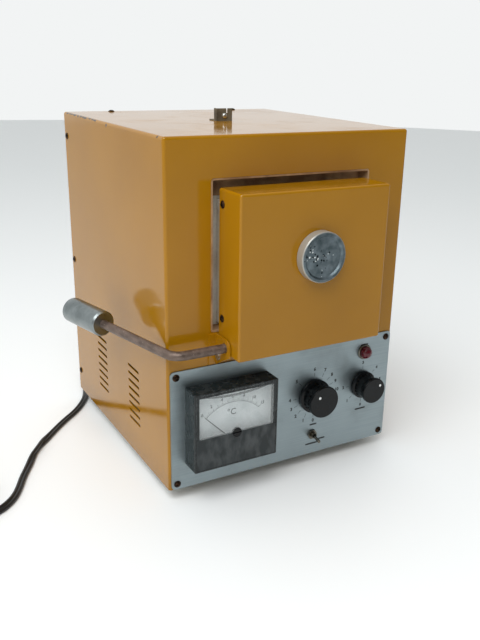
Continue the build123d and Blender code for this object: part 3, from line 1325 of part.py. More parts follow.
with BuildPart() as plug_blades:
    with BuildSketch(Plane(origin=tail_end + Vector(PLUG_L, 0, 0), x_dir=(0, 1, 0), z_dir=(1, 0, 0))):
        with GridLocations(BLADE_PITCH, 1, 2, 1):
            Rectangle(BLADE_T, BLADE_W)
    extrude(amount=BLADE_L)
plug_blades.part.label = "plug_blades"
export_step(plug_blades.part, "parts/plug_blades.step")
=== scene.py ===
# %% [markdown]
# # A ring furnace gets its finishes
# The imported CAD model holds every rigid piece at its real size. This lesson dresses it: each piece
# gets the finish of the real one, the mains lead gets its true flat section, and what is too thin
# for CAD, such as printed marks and crossed screw heads, is added as small surfaces.
# Everything is in metres and in the CAD model's own frame, so nothing has to be fitted.

# %% Load the frame
import json
import math

import bmesh
import bpy
import numpy as np
from mathutils import Matrix, Vector


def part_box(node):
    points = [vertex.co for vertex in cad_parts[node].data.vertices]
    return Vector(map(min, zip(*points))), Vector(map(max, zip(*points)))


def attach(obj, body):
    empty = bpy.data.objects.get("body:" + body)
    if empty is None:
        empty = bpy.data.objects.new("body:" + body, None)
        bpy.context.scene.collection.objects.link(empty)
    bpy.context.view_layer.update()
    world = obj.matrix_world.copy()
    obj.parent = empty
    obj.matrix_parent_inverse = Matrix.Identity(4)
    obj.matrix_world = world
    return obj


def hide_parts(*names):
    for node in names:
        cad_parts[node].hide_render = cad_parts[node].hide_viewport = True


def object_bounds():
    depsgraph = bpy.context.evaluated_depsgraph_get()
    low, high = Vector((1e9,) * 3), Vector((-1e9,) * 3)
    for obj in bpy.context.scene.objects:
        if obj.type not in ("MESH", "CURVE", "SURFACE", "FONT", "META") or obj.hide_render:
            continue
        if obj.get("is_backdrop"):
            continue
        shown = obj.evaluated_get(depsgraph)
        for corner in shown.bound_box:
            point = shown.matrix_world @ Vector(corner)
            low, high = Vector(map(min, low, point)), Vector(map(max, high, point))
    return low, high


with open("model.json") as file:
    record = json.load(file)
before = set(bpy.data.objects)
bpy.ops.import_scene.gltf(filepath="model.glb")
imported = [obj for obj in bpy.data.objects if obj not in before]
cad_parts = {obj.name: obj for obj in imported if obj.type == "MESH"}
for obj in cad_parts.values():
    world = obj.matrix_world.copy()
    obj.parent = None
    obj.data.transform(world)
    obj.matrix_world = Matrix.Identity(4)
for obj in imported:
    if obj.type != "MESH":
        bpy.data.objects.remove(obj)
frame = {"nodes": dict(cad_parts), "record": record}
cad_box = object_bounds()
nodes = frame["nodes"]
MM = 0.001
print("CAD box in mm:", [[round(v / MM) for v in corner] for corner in cad_box])

# %% [markdown]
# ## The camera
# The photograph was taken standing, from the front left, looking down a little. A camera could be
# set up by eye, but here its place and direction come from a fit to the case's edges, so that a
# piece can be compared with the picture spot by spot. The picture is a crop of a larger one, so the
# lens is shifted a little instead of being turned.

# %% Stand the camera where the photograph was taken
CAMERA_AT = Vector((-0.36784, -0.70078, 0.39542))
CAMERA_LOOK = Vector((0.48157, 0.80886, -0.33741))
CAMERA_ROLL = 1.47
LENS = 42.9
LENS_SHIFT = (-0.03524, 0.01086)


def looking(way):
    """The turn that points the -Z axis of a camera or lamp along a direction."""
    return way.to_track_quat("-Z", "Y").to_matrix().to_4x4()


camera = bpy.data.objects.new("camera", bpy.data.cameras.new("camera"))
bpy.context.scene.collection.objects.link(camera)
bpy.context.scene.camera = camera
camera.data.sensor_fit = "VERTICAL"
camera.data.sensor_height = 36
camera.data.lens = LENS
camera.data.shift_x, camera.data.shift_y = LENS_SHIFT
roll = Matrix.Rotation(math.radians(CAMERA_ROLL), 4, "Z")
camera.matrix_world = Matrix.Translation(CAMERA_AT) @ looking(CAMERA_LOOK) @ roll
print("camera", round(CAMERA_AT.length, 2), "m from the origin, lens", LENS, "mm")

# %% [markdown]
# ## Surfaces from numbers
# The new pieces could be modelled by hand, but then nobody could read their sizes. So every one is
# a grid of points worked out with numpy: a function of two parameters, or a profile carried along a
# path. The grid's last column joins its first, so a row is a ring. Where a row shrinks to a point,
# its doubles are merged, which closes the end.

# %% A grid of points becomes a mesh
def grid_faces(rows, columns, first):
    """The quads between neighbouring points of rings, numbered from first."""
    index = first + np.arange(rows * columns).reshape(rows, columns)
    index = np.hstack([index, index[:, :1]])
    corners = [index[:-1, :-1], index[:-1, 1:], index[1:, 1:], index[1:, :-1]]
    return np.stack(corners, axis=-1).reshape(-1, 4)


def capped(rings):
    """The rings with their first and last one's middle added as a ring, so both ends close."""
    middles = rings[[0, -1]].mean(axis=1, keepdims=True).repeat(rings.shape[1], axis=1)
    return np.concatenate([middles[:1], rings, middles[1:]])


def clean(mesh, sharp):
    """Merges the points that meet at poles and seams, turns faces outwards and shades them."""
    shape = bmesh.new()
    shape.from_mesh(mesh)
    bmesh.ops.remove_doubles(shape, verts=shape.verts, dist=1e-6)
    bmesh.ops.recalc_face_normals(shape, faces=shape.faces)
    shape.to_mesh(mesh)
    shape.free()
    mesh.polygons.foreach_set("use_smooth", np.ones(len(mesh.polygons), dtype=bool))
    mesh.set_sharp_from_angle(angle=math.radians(sharp))


def mesh_piece(name, points, faces, body, sharp):
    """An object of points and faces at the origin, cleaned, that rides on a body."""
    mesh = bpy.data.meshes.new(name)
    mesh.from_pydata(points.tolist(), [], faces)
    clean(mesh, sharp)
    piece = bpy.data.objects.new(name, mesh)
    bpy.context.scene.collection.objects.link(piece)
    if body:
        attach(piece, body)
    print(name, len(mesh.polygons), "faces on", body or "the stage")
    return piece


def make_piece(name, grids, body, sharp=35):
    """One piece from grids of points, each of shape (rows, columns, 3)."""
    faces = []
    first = 0
    for grid in grids:
        faces.append(grid_faces(grid.shape[0], grid.shape[1], first))
        first += grid.shape[0] * grid.shape[1]
    points = np.concatenate([grid.reshape(-1, 3) for grid in grids])
    return mesh_piece(name, points, np.concatenate(faces).tolist(), body, sharp)


print("3 rings of 4 points make", len(grid_faces(3, 4, 0)), "faces")

# %% [markdown]
# ## The mains lead
# The real lead is flat twin flex, 7 mm wide: two round cores side by side with a groove between
# them. It leaves the back of the case, bends to the floor and runs along it to the left. The length
# that the photograph doesn't show lies in a loose double coil beside the furnace. The points are
# the same as in the CAD source, so that the lead stays inside the CAD box, and a NURBS spline
# smooths them.

# %% The route along the floor and the turns of the coil
LEAD_W = 0.007
LEAD_LOBE = 0.0019
LEAD_CORE_AT = 0.0016
LEAD_WEB = 0.00115
FLOOR_LIFT = 0.0035
# x, y and z in mm, from the back of the case to the start of the coil
ROUTE_MM = [
    (-34, 161, 40), (-34, 173, 40), (-35, 187, 37), (-38.5, 200.5, 31), (-45.5, 211.5, 22.5),
    (-55.5, 219, 14), (-67.5, 222, 7.5), (-80, 219.5, 4), (-91, 212, 3.5), (-99, 200.5, 3.5),
    (-104.5, 187, 3.5), (-108.5, 172, 3.5), (-112.5, 155, 3.5), (-117, 138, 3.5),
    (-123.5, 121, 3.5), (-134, 104, 3.5), (-146.5, 88.5, 3.5), (-161, 75, 3.5), (-176, 59, 3.5),
    (-191, 41, 3.5), (-204, 24.5, 3.5), (-214.5, 8.5, 3.5), (-224, -9.5, 3.5),
    (-234, -27.5, 3.5), (-242, -46, 3.5), (-251.5, -63, 3.5), (-265, -76.5, 3.5),
    (-283, -84.5, 3.5), (-300, -87, 3.5), (-315, -87, 3.5),
]
COIL_START = (-0.322, -0.087, FLOOR_LIFT)
COIL_R = 0.051
COIL_STEP = 0.0038
HALF_TURNS = 11
INNER_TURN = 5
LOOSE_TURN = 8
COIL_RISE = 0.0078
TAIL = 0.007


def coil_points():
    """Half circles that shrink to the middle and grow again in a second layer on top.

    A half circle of radius r is six points at r / cos(15 deg), every 30 degrees, whose spline
    touches the circle; its centre steps to the other end of the last one."""
    start = np.array(COIL_START)
    points = []
    angle = (np.arange(6) + 0.5) * math.pi / 6
    for turn in range(HALF_TURNS):
        side = 1 - 2 * (turn % 2)
        inward = min(turn, HALF_TURNS - 1 - turn)
        slack = max(0, turn - LOOSE_TURN)
        radius = COIL_R + (slack - inward) * COIL_STEP
        climb = 0.0
        if turn == INNER_TURN:
            climb = COIL_RISE
        if turn == HALF_TURNS - 1:
            climb = LEAD_W - FLOOR_LIFT - COIL_RISE
        reach = radius / math.cos(math.pi / 12)
        back = -side * reach * np.sin(angle)
        aside = side * (radius - reach * np.cos(angle))
        points.append(start + np.stack([back, aside, climb * angle / math.pi], axis=1))
        start = start + np.array([0.0, 2 * side * radius, climb])
    points.append(np.array([start, start + [TAIL, 0.0, 0.0]]))
    return np.concatenate(points)


lead_points = np.concatenate([np.array(ROUTE_MM) * MM, coil_points()])
print("lead control points", len(lead_points))

# %% [markdown]
# A curve with a bevel could be the lead, but it can't tip its flat section from lying to standing.
# So Blender's own NURBS spline is read back as a fine line of points, and the section is carried
# along it. The flex lies flat where it rests on the floor, leans on edge where it swings round, and
# stands on edge in the coil, as flat flex does when it is wound.

# %% Read the spline back as points
def read_back(curve):
    """The points and faces that Blender makes of a curve or text, which is then deleted."""
    holder = bpy.data.objects.new(curve.name, curve)
    mesh = bpy.data.meshes.new_from_object(holder)
    points = np.empty(3 * len(mesh.vertices))
    mesh.vertices.foreach_get("co", points)
    corners = np.empty(len(mesh.loops), dtype=np.int32)
    mesh.loops.foreach_get("vertex_index", corners)
    starts = np.empty(len(mesh.polygons), dtype=np.int32)
    mesh.polygons.foreach_get("loop_start", starts)
    bpy.data.objects.remove(holder)
    bpy.data.curves.remove(curve)
    bpy.data.meshes.remove(mesh)
    return points.reshape(-1, 3), np.split(corners, starts[1:])


def spline_line(control, spacing):
    """The line of a quadratic NURBS spline through space, as points at an even spacing."""
    curve = bpy.data.curves.new("lead_route", "CURVE")
    curve.dimensions = "3D"
    curve.resolution_u = 12
    spline = curve.splines.new("NURBS")
    spline.points.add(len(control) - 1)
    spline.points.foreach_set("co", np.hstack([control, np.ones((len(control), 1))]).ravel())
    spline.order_u = 3
    spline.use_endpoint_u = True
    line, _ = read_back(curve)
    run = np.concatenate([[0.0], np.cumsum(np.linalg.norm(np.diff(line, axis=0), axis=1))])
    even = np.linspace(0.0, run[-1], round(run[-1] / spacing) + 1)
    return np.stack([np.interp(even, run, line[:, axis]) for axis in range(3)], axis=1), even


LINE_STEP = 0.002
line, run = spline_line(lead_points, LINE_STEP)
print("lead", round(run[-1], 3), "m long in", len(line), "points")

# %% The section and how it tips along the way
ON_EDGE_AT = (-0.300, -0.087)
LEAN_AT = (-0.208, 0.020)
TIP_UP_OVER = 0.080
LIE_DOWN_OVER = 0.060
LEAN_SPREAD = 0.022
FLAT_DROP = 0.0016
DROP_BELOW = 0.009
DROP_OVER = 0.0055


def lead_section(count=28):
    """A figure of eight lying down: two circles side by side, filled between them to a web."""
    angle = np.linspace(0.0, 2 * math.pi, count, endpoint=False)
    across = LEAD_W / 2 * np.cos(angle)
    off_core = np.abs(across) - LEAD_CORE_AT
    height = np.sqrt(np.clip(LEAD_LOBE**2 - off_core**2, 0.0, None))
    height = np.where(np.abs(across) < LEAD_CORE_AT, np.maximum(height, LEAD_WEB), height)
    return across, np.sign(np.sin(angle)) * height


def smooth_step(value, low, high):
    """0 below low, 1 above high, with a smooth S between them."""
    part = np.clip((value - low) / (high - low), 0.0, 1.0)
    return part * part * (3 - 2 * part)


def run_near(place):
    """How far along the lead it passes a place on the floor."""
    return run[np.argmin(np.linalg.norm(line - np.array([*place, FLOOR_LIFT]), axis=1))]


coil_run = run_near(ON_EDGE_AT)
on_edge = smooth_step(run, coil_run - TIP_UP_OVER, coil_run)
on_edge -= smooth_step(run, run[-1] - LIE_DOWN_OVER, run[-1])
lean = np.exp(-((run - run_near(LEAN_AT)) / LEAN_SPREAD) ** 2)
tilt = np.radians(90) * np.clip(on_edge + lean, 0.0, 1.0)
print("the coil starts", round(coil_run, 3), "m along")

# %% The lead itself
tangent = np.gradient(line, axis=0)
tangent /= np.linalg.norm(tangent, axis=1)[:, None]
sideways = np.cross(tangent, [0.0, 0.0, 1.0])
sideways /= np.linalg.norm(sideways, axis=1)[:, None]
upward = np.cross(sideways, tangent)
wide = sideways * np.cos(tilt)[:, None] + upward * np.sin(tilt)[:, None]
thick = upward * np.cos(tilt)[:, None] - sideways * np.sin(tilt)[:, None]
# Lying flat, the lead is thinner than it is wide, so there its middle sinks towards the floor.
near_floor = np.clip((DROP_BELOW - line[:, 2]) / DROP_OVER, 0.0, 1.0)
drop = FLAT_DROP * (1 - np.sin(tilt)) * near_floor
middle = line - drop[:, None] * np.array([0.0, 0.0, 1.0])
across, height = lead_section()
lead_grid = middle[:, None] + wide[:, None] * across[:, None] + thick[:, None] * height[:, None]
mains_lead = make_piece("mains_lead", [capped(lead_grid)], "case", sharp=60)
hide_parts("mains_cord", "cord_coil")

# %% [markdown]
# ## Finishes
# A finish could be a painted picture, but it would blur close up and would need unwrapping. So each
# one is a procedural material. It reads Object coordinates, which are metres on the real piece, so
# a pattern keeps its real scale. Colours are written as the hex values that a colour picker shows,
# and one function turns them to linear light. One more function adds a node with its settings and
# links and hands back its output, ready for the next node.

# %% Colours, nodes and the start of a finish
def linear(code):
    """An sRGB hex colour as linear red, green, blue and 1."""
    shown = [int(code[i : i + 2], 16) / 255 for i in (1, 3, 5)]
    return [c / 12.92 if c < 0.04045 else ((c + 0.055) / 1.055) ** 2.4 for c in shown] + [1.0]


def add(finish, kind, sockets, out=0, **settings):
    """Adds a node and returns its output; a socket takes a value or another node's output."""
    node = finish.node_tree.nodes.new("ShaderNode" + kind)
    for setting, value in settings.items():
        setattr(node, setting, value)
    for socket, value in sockets.items():
        if isinstance(value, bpy.types.NodeSocket):
            finish.node_tree.links.new(value, node.inputs[socket])
        else:
            node.inputs[socket].default_value = value
    return node.outputs[out]


RGBA = {"out": 2, "data_type": "RGBA"}


def new_finish(name, **fixed):
    """A material with the fixed values of its shader set, and the place on the object."""
    finish = bpy.data.materials.new(name)
    finish.use_nodes = True
    shader = finish.node_tree.nodes["Principled BSDF"]
    for socket, value in fixed.items():
        shader.inputs[socket.replace("_", " ")].default_value = value
    return finish, add(finish, "TexCoord", {}, out=3)


def show(finish, **outputs):
    """Joins outputs to the shader's sockets of the same names, the last step of a finish."""
    shader = finish.node_tree.nodes["Principled BSDF"]
    for socket, output in outputs.items():
        finish.node_tree.links.new(output, shader.inputs[socket.replace("_", " ")])
    print(finish.name, "sets", ", ".join(outputs))


finishes = {}
own_finish = {}
print("linear light of #808080:", round(linear("#808080")[0], 3))

# %% [markdown]
# ### The enamelled steel
# The case, door and hinge ears are sheet steel with a stoved ochre enamel: a hard, glossy coat with
# a fine orange peel, a little clouded by heat. At a glancing view it mirrors the pale room, which
# the shader's Fresnel gives by itself, so no second layer is needed. A few chips show the dark
# steel, at the places where the photograph has them: they are distances from points, because random
# wear would land elsewhere.

# %% Chips and the worn edge
ENAMEL = "#A37109"
ENAMEL_BAKED = "#996907"
ENAMEL_LOW_DARK = "#5E4120"
BARE_STEEL = "#3B3028"
RUST = "#8A5A2E"
# where a chip is and how far it reaches, in mm
CHIPS = [((-125, -0.4, 329.5), 2.0), ((-124.6, -120, 331.2), 1.8), ((89.5, -5.7, 332), 1.5)]
RUST_SPOT = ((107, -132, 14.5), 3.4)
WORN_EDGE_FROM = 0.031
WORN_EDGE_TO = 0.124
WORN_EDGE_X = -0.1245
WORN_EDGE_Z = 0.3315


def close_to(finish, place, spot_mm, reach_mm):
    """1 at a spot on the object, fading to 0 at its reach, with an edge torn by fine noise."""
    torn = add(finish, "TexNoise", {"Vector": place, "Scale": 1 / 0.0016, "Detail": 2.0}, out=1)
    shifted = add(finish, "VectorMath", {0: torn, 1: (-0.5, -0.5, -0.5)}, operation="ADD")
    moved = add(finish, "VectorMath", {0: shifted, "Scale": 1.6 * reach_mm * MM}, operation="SCALE")
    ragged = add(finish, "VectorMath", {0: place, 1: moved}, operation="ADD")
    spot = [c * MM for c in spot_mm]
    away = add(finish, "VectorMath", {0: ragged, 1: spot}, out=1, operation="DISTANCE")
    edges = {"From Min": reach_mm * MM, "From Max": 0.7 * reach_mm * MM}
    return add(finish, "MapRange", {"Value": away, **edges})


def worn_edge(finish, place):
    """1 along the left roof edge between two places, where the enamel is rubbed off, broken up."""
    along = add(finish, "SeparateXYZ", {0: place}, out=1)
    not_before = add(finish, "Math", {0: along, 1: WORN_EDGE_FROM}, operation="MAXIMUM")
    held = add(finish, "Math", {0: not_before, 1: WORN_EDGE_TO}, operation="MINIMUM")
    edge = add(finish, "CombineXYZ", {0: WORN_EDGE_X, 1: held, 2: WORN_EDGE_Z})
    away = add(finish, "VectorMath", {0: place, 1: edge}, out=1, operation="DISTANCE")
    broken = add(finish, "TexNoise", {"Vector": place, "Scale": 1 / 0.004, "Detail": 4.0})
    widths = {"From Min": 0.4, "From Max": 0.7, "To Min": 0.0002, "To Max": 0.0024}
    reach = add(finish, "MapRange", {"Value": broken, **widths})
    return add(finish, "Math", {0: away, 1: reach}, operation="LESS_THAN")


print(len(CHIPS), "chips, and a worn edge of", round((WORN_EDGE_TO - WORN_EDGE_FROM) / MM), "mm")

# %% Stoved enamel
def stove_enamel():
    """Ochre enamel with heat clouds, darker in patches towards the bottom, chips and orange peel."""
    finish, place = new_finish("stove_enamel", IOR=1.5, Specular_IOR_Level=0.36)
    cloud = add(finish, "TexNoise", {"Vector": place, "Scale": 1 / 0.11, "Detail": 4.0})
    amount = add(finish, "MapRange", {"Value": cloud, "From Min": 0.3, "From Max": 0.7})
    colour = add(finish, "Mix", {0: amount, 6: linear(ENAMEL), 7: linear(ENAMEL_BAKED)}, **RGBA)
    # Towards the bottom the enamel is made darker in patches, from 40 mm down to 12 mm above the
    # floor.
    height = add(finish, "SeparateXYZ", {0: place}, out=2)
    low = add(finish, "MapRange", {"Value": height, "From Min": 0.040, "From Max": 0.012})
    patchy = add(finish, "TexNoise", {"Vector": place, "Scale": 1 / 0.006, "Detail": 5.0})
    darker_low = add(finish, "Math", {0: low, 1: patchy}, operation="MULTIPLY")
    darker_low = add(finish, "Math", {0: darker_low, 1: 0.55}, operation="MULTIPLY")
    colour = add(finish, "Mix", {0: darker_low, 6: colour, 7: linear(ENAMEL_LOW_DARK)}, **RGBA)
    for spot, reach in CHIPS:
        chip = close_to(finish, place, spot, reach)
        colour = add(finish, "Mix", {0: chip, 6: colour, 7: linear(BARE_STEEL)}, **RGBA)
    rust = close_to(finish, place, *RUST_SPOT)
    colour = add(finish, "Mix", {0: rust, 6: colour, 7: linear(RUST)}, **RGBA)
    worn = worn_edge(finish, place)
    colour = add(finish, "Mix", {0: worn, 6: colour, 7: linear(BARE_STEEL)}, **RGBA)
    smudge = add(finish, "TexNoise", {"Vector": place, "Scale": 1 / 0.035, "Detail": 5.0})
    wiped = {"From Min": 0.45, "From Max": 0.75, "To Min": 0.10, "To Max": 0.19}
    gloss = add(finish, "MapRange", {"Value": smudge, **wiped})
    peel = add(finish, "TexNoise", {"Vector": place, "Scale": 1 / 0.0022, "Detail": 1.0})
    bump = add(finish, "Bump", {"Height": peel, "Distance": 0.00002, "Strength": 0.6})
    show(finish, Base_Color=colour, Roughness=gloss, Normal=bump)
    return finish


finishes["enamel"] = stove_enamel()

# %% [markdown]
# ### Bare and plated metals
# A metal has no colour of its own under the gloss: its base colour tints what it mirrors. What
# tells the metals apart is how they were finished, so each gets the lines, spots or blotches that
# its making and its use left, and keeps the shader's own index of refraction.

# %% [markdown]
# The panel is aluminium brushed lengthwise and anodised. A noise stretched along X by its scale
# gives the brush lines, drawn coarser than the real ones so that they show in the picture.

# %% Brushed aluminium
def brushed_aluminium():
    """Anodised aluminium: brush lines 70 mm long along X, every 0.4 mm, smudged by fingers."""
    finish, place = new_finish("brushed_aluminium", Metallic=1.0)
    fine = add(finish, "Mapping", {"Vector": place, "Scale": (14.0, 1.0, 1 / 0.0004)})
    lines = add(finish, "TexNoise", {"Vector": fine, "Scale": 1.0, "Detail": 3.0})
    tone = add(finish, "MapRange", {"Value": lines, "From Min": 0.15, "From Max": 0.85})
    colour = add(finish, "Mix", {0: tone, 6: linear("#8B989C"), 7: linear("#A1ACB0")}, **RGBA)
    smudge = add(finish, "TexNoise", {"Vector": place, "Scale": 1 / 0.03, "Detail": 5.0})
    greasy = {"From Min": 0.55, "From Max": 0.8, "To Max": 0.35}
    stain = add(finish, "MapRange", {"Value": smudge, **greasy})
    colour = add(finish, "Mix", {0: stain, 6: colour, 7: linear("#7C7F7C")}, **RGBA)
    fingers = {"From Min": 0.3, "From Max": 0.7, "To Min": 0.36, "To Max": 0.5}
    gloss = add(finish, "MapRange", {"Value": smudge, **fingers})
    bump = add(finish, "Bump", {"Height": lines, "Distance": 0.00001, "Strength": 0.35})
    show(finish, Base_Color=colour, Roughness=gloss, Normal=bump)
    return finish


finishes["brushed_aluminium"] = brushed_aluminium()

# %% [markdown]
# The sight plug is turned, so its lines are rings about its axis, and it has pitted in the heat.
# Pits all over would look like gravel, so each Voronoi cell has a number that decides whether it is
# a pit, with fewer pits away from the middle of the worn place, and fine noise tears their edges.

# %% Turned and pitted aluminium
PLUG_AXIS = (0.0015, 0.0, 0.232)
PLUG_RIM_FROM = 0.0214
PLUG_RIM_TO = 0.0224
PITTED_AT = (-0.007, 0.0, -0.001)
RAGGED_BY = 0.0024
WAVE_PERIOD = 2 * math.pi / 20  # a Wave texture of scale 1 repeats every 0.314 m


def pick_spots(finish, flat, spacing, size, likely):
    """1 on spots of a size, one in each cell of the spacing whose own number is below likely."""
    cells = add(finish, "TexVoronoi", {"Vector": flat, "Scale": 1 / spacing})
    number = add(finish, "SeparateXYZ", {0: cells.node.outputs["Color"]})
    picked = add(finish, "Math", {0: number, 1: likely}, operation="LESS_THAN")
    edge = {"From Min": size / spacing, "From Max": 0.6 * size / spacing}
    near = add(finish, "MapRange", {"Value": cells, **edge})
    return add(finish, "Math", {0: near, 1: picked}, operation="MULTIPLY")


def turned_aluminium():
    """Rings every 0.5 mm about the plug's axis, dull grey, pitted left of the middle, rim pale as a
    painted reflection.

    The pits are cells of about 3 mm, made ragged by noise of a millimetre; white specks beside them
    are painted glints."""
    finish, place = new_finish("turned_aluminium", Roughness=0.38)
    centred = add(finish, "VectorMath", {0: place, 1: PLUG_AXIS}, operation="SUBTRACT")
    flat = add(finish, "VectorMath", {0: centred, 1: (1.0, 0.0, 1.0)}, operation="MULTIPLY")
    off_axis = add(finish, "VectorMath", {0: flat}, out=1, operation="LENGTH")
    wave = {"Vector": flat, "Scale": WAVE_PERIOD / 0.0005, "Distortion": 0.6}
    rings = add(finish, "TexWave", wave, out=1, wave_type="RINGS", rings_direction="Y")
    cloud = add(finish, "TexNoise", {"Vector": place, "Scale": 1 / 0.009, "Detail": 5.0})
    tone = add(finish, "MapRange", {"Value": cloud, "From Min": 0.35, "From Max": 0.65})
    colour = add(finish, "Mix", {0: tone, 6: linear("#525E62"), 7: linear("#7D888E")}, **RGBA)
    # A painted reflection: the rim is made pale and less metallic, as if it caught the bright room
    # on its left.
    sheen_edge = {"From Min": PLUG_RIM_FROM, "From Max": PLUG_RIM_TO}
    rim_sheen = add(finish, "MapRange", {"Value": off_axis, **sheen_edge})
    colour = add(finish, "Mix", {0: rim_sheen, 6: colour, 7: linear("#B4B2AA")}, **RGBA)
    away = add(finish, "VectorMath", {0: flat, 1: PITTED_AT}, out=1, operation="DISTANCE")
    worn = {"From Min": 0.018, "From Max": 0.004, "To Min": 0.0, "To Max": 0.9}
    likely = add(finish, "MapRange", {"Value": away, **worn})
    crumbs = add(finish, "TexNoise", {"Vector": flat, "Scale": 1 / 0.0013, "Detail": 3.0}, out=1)
    stir = {0: crumbs, 1: (RAGGED_BY, 0.0, RAGGED_BY), 2: flat}
    ragged = add(finish, "VectorMath", stir, operation="MULTIPLY_ADD")
    pits = pick_spots(finish, ragged, spacing=0.0033, size=0.0012, likely=likely)
    colour = add(finish, "Mix", {0: pits, 6: colour, 7: linear("#14191B")}, **RGBA)
    # White specks beside the pits are painted glints, where raised burrs would catch the light.
    rarer = add(finish, "Math", {0: likely, 1: 0.45}, operation="MULTIPLY")
    glints = pick_spots(finish, ragged, spacing=0.0027, size=0.0008, likely=rarer)
    colour = add(finish, "Mix", {0: glints, 6: colour, 7: linear("#F2F6F6")}, **RGBA)
    metal = add(finish, "MapRange", {"Value": rim_sheen, "To Min": 1.0, "To Max": 0.45})
    depth = add(finish, "Math", {0: pits, 1: -1.0, 2: rings}, operation="MULTIPLY_ADD")
    bump = add(finish, "Bump", {"Height": depth, "Distance": 0.00008, "Strength": 0.6})
    show(finish, Base_Color=colour, Metallic=metal, Normal=bump)
    return finish


finishes["turned_aluminium"] = turned_aluminium()

# %% [markdown]
# The lever and hinge shaft is one drawn bar, brown with oxide. Drawing leaves streaks along it, so
# the noise is stretched along Y, the way that most of the lever runs.

# %% Oxidised steel bar
def oxidised_bar():
    """Drawn steel bar brown with oxide, streaked along its length, with specks rubbed pale."""
    finish, place = new_finish("oxidised_bar", Metallic=0.55, Roughness=0.42)
    drawn = add(finish, "Mapping", {"Vector": place, "Scale": (1.0, 0.35, 1.0)})
    streak = add(finish, "TexNoise", {"Vector": drawn, "Scale": 1 / 0.0045, "Detail": 6.0})
    tone = add(finish, "MapRange", {"Value": streak, "From Min": 0.35, "From Max": 0.7})
    colour = add(finish, "Mix", {0: tone, 6: linear("#584A42"), 7: linear("#7F6E64")}, **RGBA)
    speck = add(finish, "TexNoise", {"Vector": place, "Scale": 1 / 0.0012, "Detail": 3.0})
    worn = add(finish, "MapRange", {"Value": speck, "From Min": 0.66, "From Max": 0.72})
    colour = add(finish, "Mix", {0: worn, 6: colour, 7: linear("#AB9C90")}, **RGBA)
    gloss = add(finish, "MapRange", {"Value": streak, "To Min": 0.3, "To Max": 0.6})
    bump = add(finish, "Bump", {"Height": speck, "Distance": 0.00006, "Strength": 0.6})
    show(finish, Base_Color=colour, Roughness=gloss, Normal=bump)
    return finish


finishes["oxidised_rod"] = oxidised_bar()

# %% [markdown]
# The grip is turned steel with a zinc plating that has clouded and begun to spot. The clouds change
# gloss and tone together, because the same film does both.

# %% Plated steel
def plated_steel():
    """Turned and zinc-plated steel, faintly clouded, with a few corrosion specks."""
    finish, place = new_finish("plated_steel", Metallic=1.0, Roughness=0.3)
    cloud = add(finish, "TexNoise", {"Vector": place, "Scale": 1 / 0.014, "Detail": 5.0})
    tone = add(finish, "MapRange", {"Value": cloud, "From Min": 0.3, "From Max": 0.7})
    colour = add(finish, "Mix", {0: tone, 6: linear("#6F7778"), 7: linear("#949B9C")}, **RGBA)
    speck = add(finish, "TexNoise", {"Vector": place, "Scale": 1 / 0.0030, "Detail": 5.0})
    spots = add(finish, "MapRange", {"Value": speck, "From Min": 0.69, "From Max": 0.73})
    colour = add(finish, "Mix", {0: spots, 6: colour, 7: linear("#4A3B30")}, **RGBA)
    gloss = add(finish, "MapRange", {"Value": cloud, "To Min": 0.2, "To Max": 0.42})
    bump = add(finish, "Bump", {"Height": speck, "Distance": 0.00004, "Strength": 0.4})
    show(finish, Base_Color=colour, Roughness=gloss, Normal=bump)
    return finish


finishes["bright_steel"] = plated_steel()

# %% [markdown]
# The liner round the mouth, the sight tube and the vent's shield have been hot so often that they
# are half scale and half metal. A metallic value between the two stands for that mixture of dull
# and bright grains.

# %% Heat-scaled steel
def scaled_steel(name, dark, pale):
    """Sheet steel stained and scaled by heat: blotches of two browns and a rough, dull skin."""
    finish, place = new_finish(name, Metallic=0.45, Roughness=0.6)
    blotch = add(finish, "TexNoise", {"Vector": place, "Scale": 1 / 0.018, "Detail": 7.0})
    tone = add(finish, "MapRange", {"Value": blotch, "From Min": 0.35, "From Max": 0.65})
    colour = add(finish, "Mix", {0: tone, 6: linear(dark), 7: linear(pale)}, **RGBA)
    scale = add(finish, "TexNoise", {"Vector": place, "Scale": 1 / 0.0018, "Detail": 4.0})
    gloss = add(finish, "MapRange", {"Value": scale, "To Min": 0.45, "To Max": 0.8})
    bump = add(finish, "Bump", {"Height": scale, "Distance": 0.00012, "Strength": 0.6})
    show(finish, Base_Color=colour, Roughness=gloss, Normal=bump)
    return finish


finishes["scaled_steel"] = scaled_steel("scaled_steel", "#8C6B4E", "#C29F79")
own_finish["vent_bracket"] = scaled_steel("galvanised_shield", "#4E473C", "#8C8470")

# %% [markdown]
# The base plate, the shelf under the chamber and the door's tray are zinc-plated sheet, which shows
# only when the door is open or from below. The crystals are Voronoi cells, each with a tone of its
# own, and a white bloom makes it less metallic than fresh zinc.

# %% Zinc-plated sheet
def zinc_sheet():
    """Zinc-plated sheet: crystals of about 5 mm catch the light, a white bloom dulls them."""
    finish, place = new_finish("zinc_sheet", Metallic=0.55)
    crystals = add(finish, "TexVoronoi", {"Vector": place, "Scale": 1 / 0.005}, out=1)
    shade = add(finish, "RGBToBW", {0: crystals})
    colour = add(finish, "Mix", {0: shade, 6: linear("#B4B2A9"), 7: linear("#D6D3C9")}, **RGBA)
    gloss = add(finish, "MapRange", {"Value": shade, "To Min": 0.35, "To Max": 0.55})
    show(finish, Base_Color=colour, Roughness=gloss)
    return finish


finishes["zinc_sheet"] = zinc_sheet()

# %% [markdown]
# Screws, shafts and bushings are too small for lines to show. One function with a colour, a
# roughness and a colour for worn spots does them all.

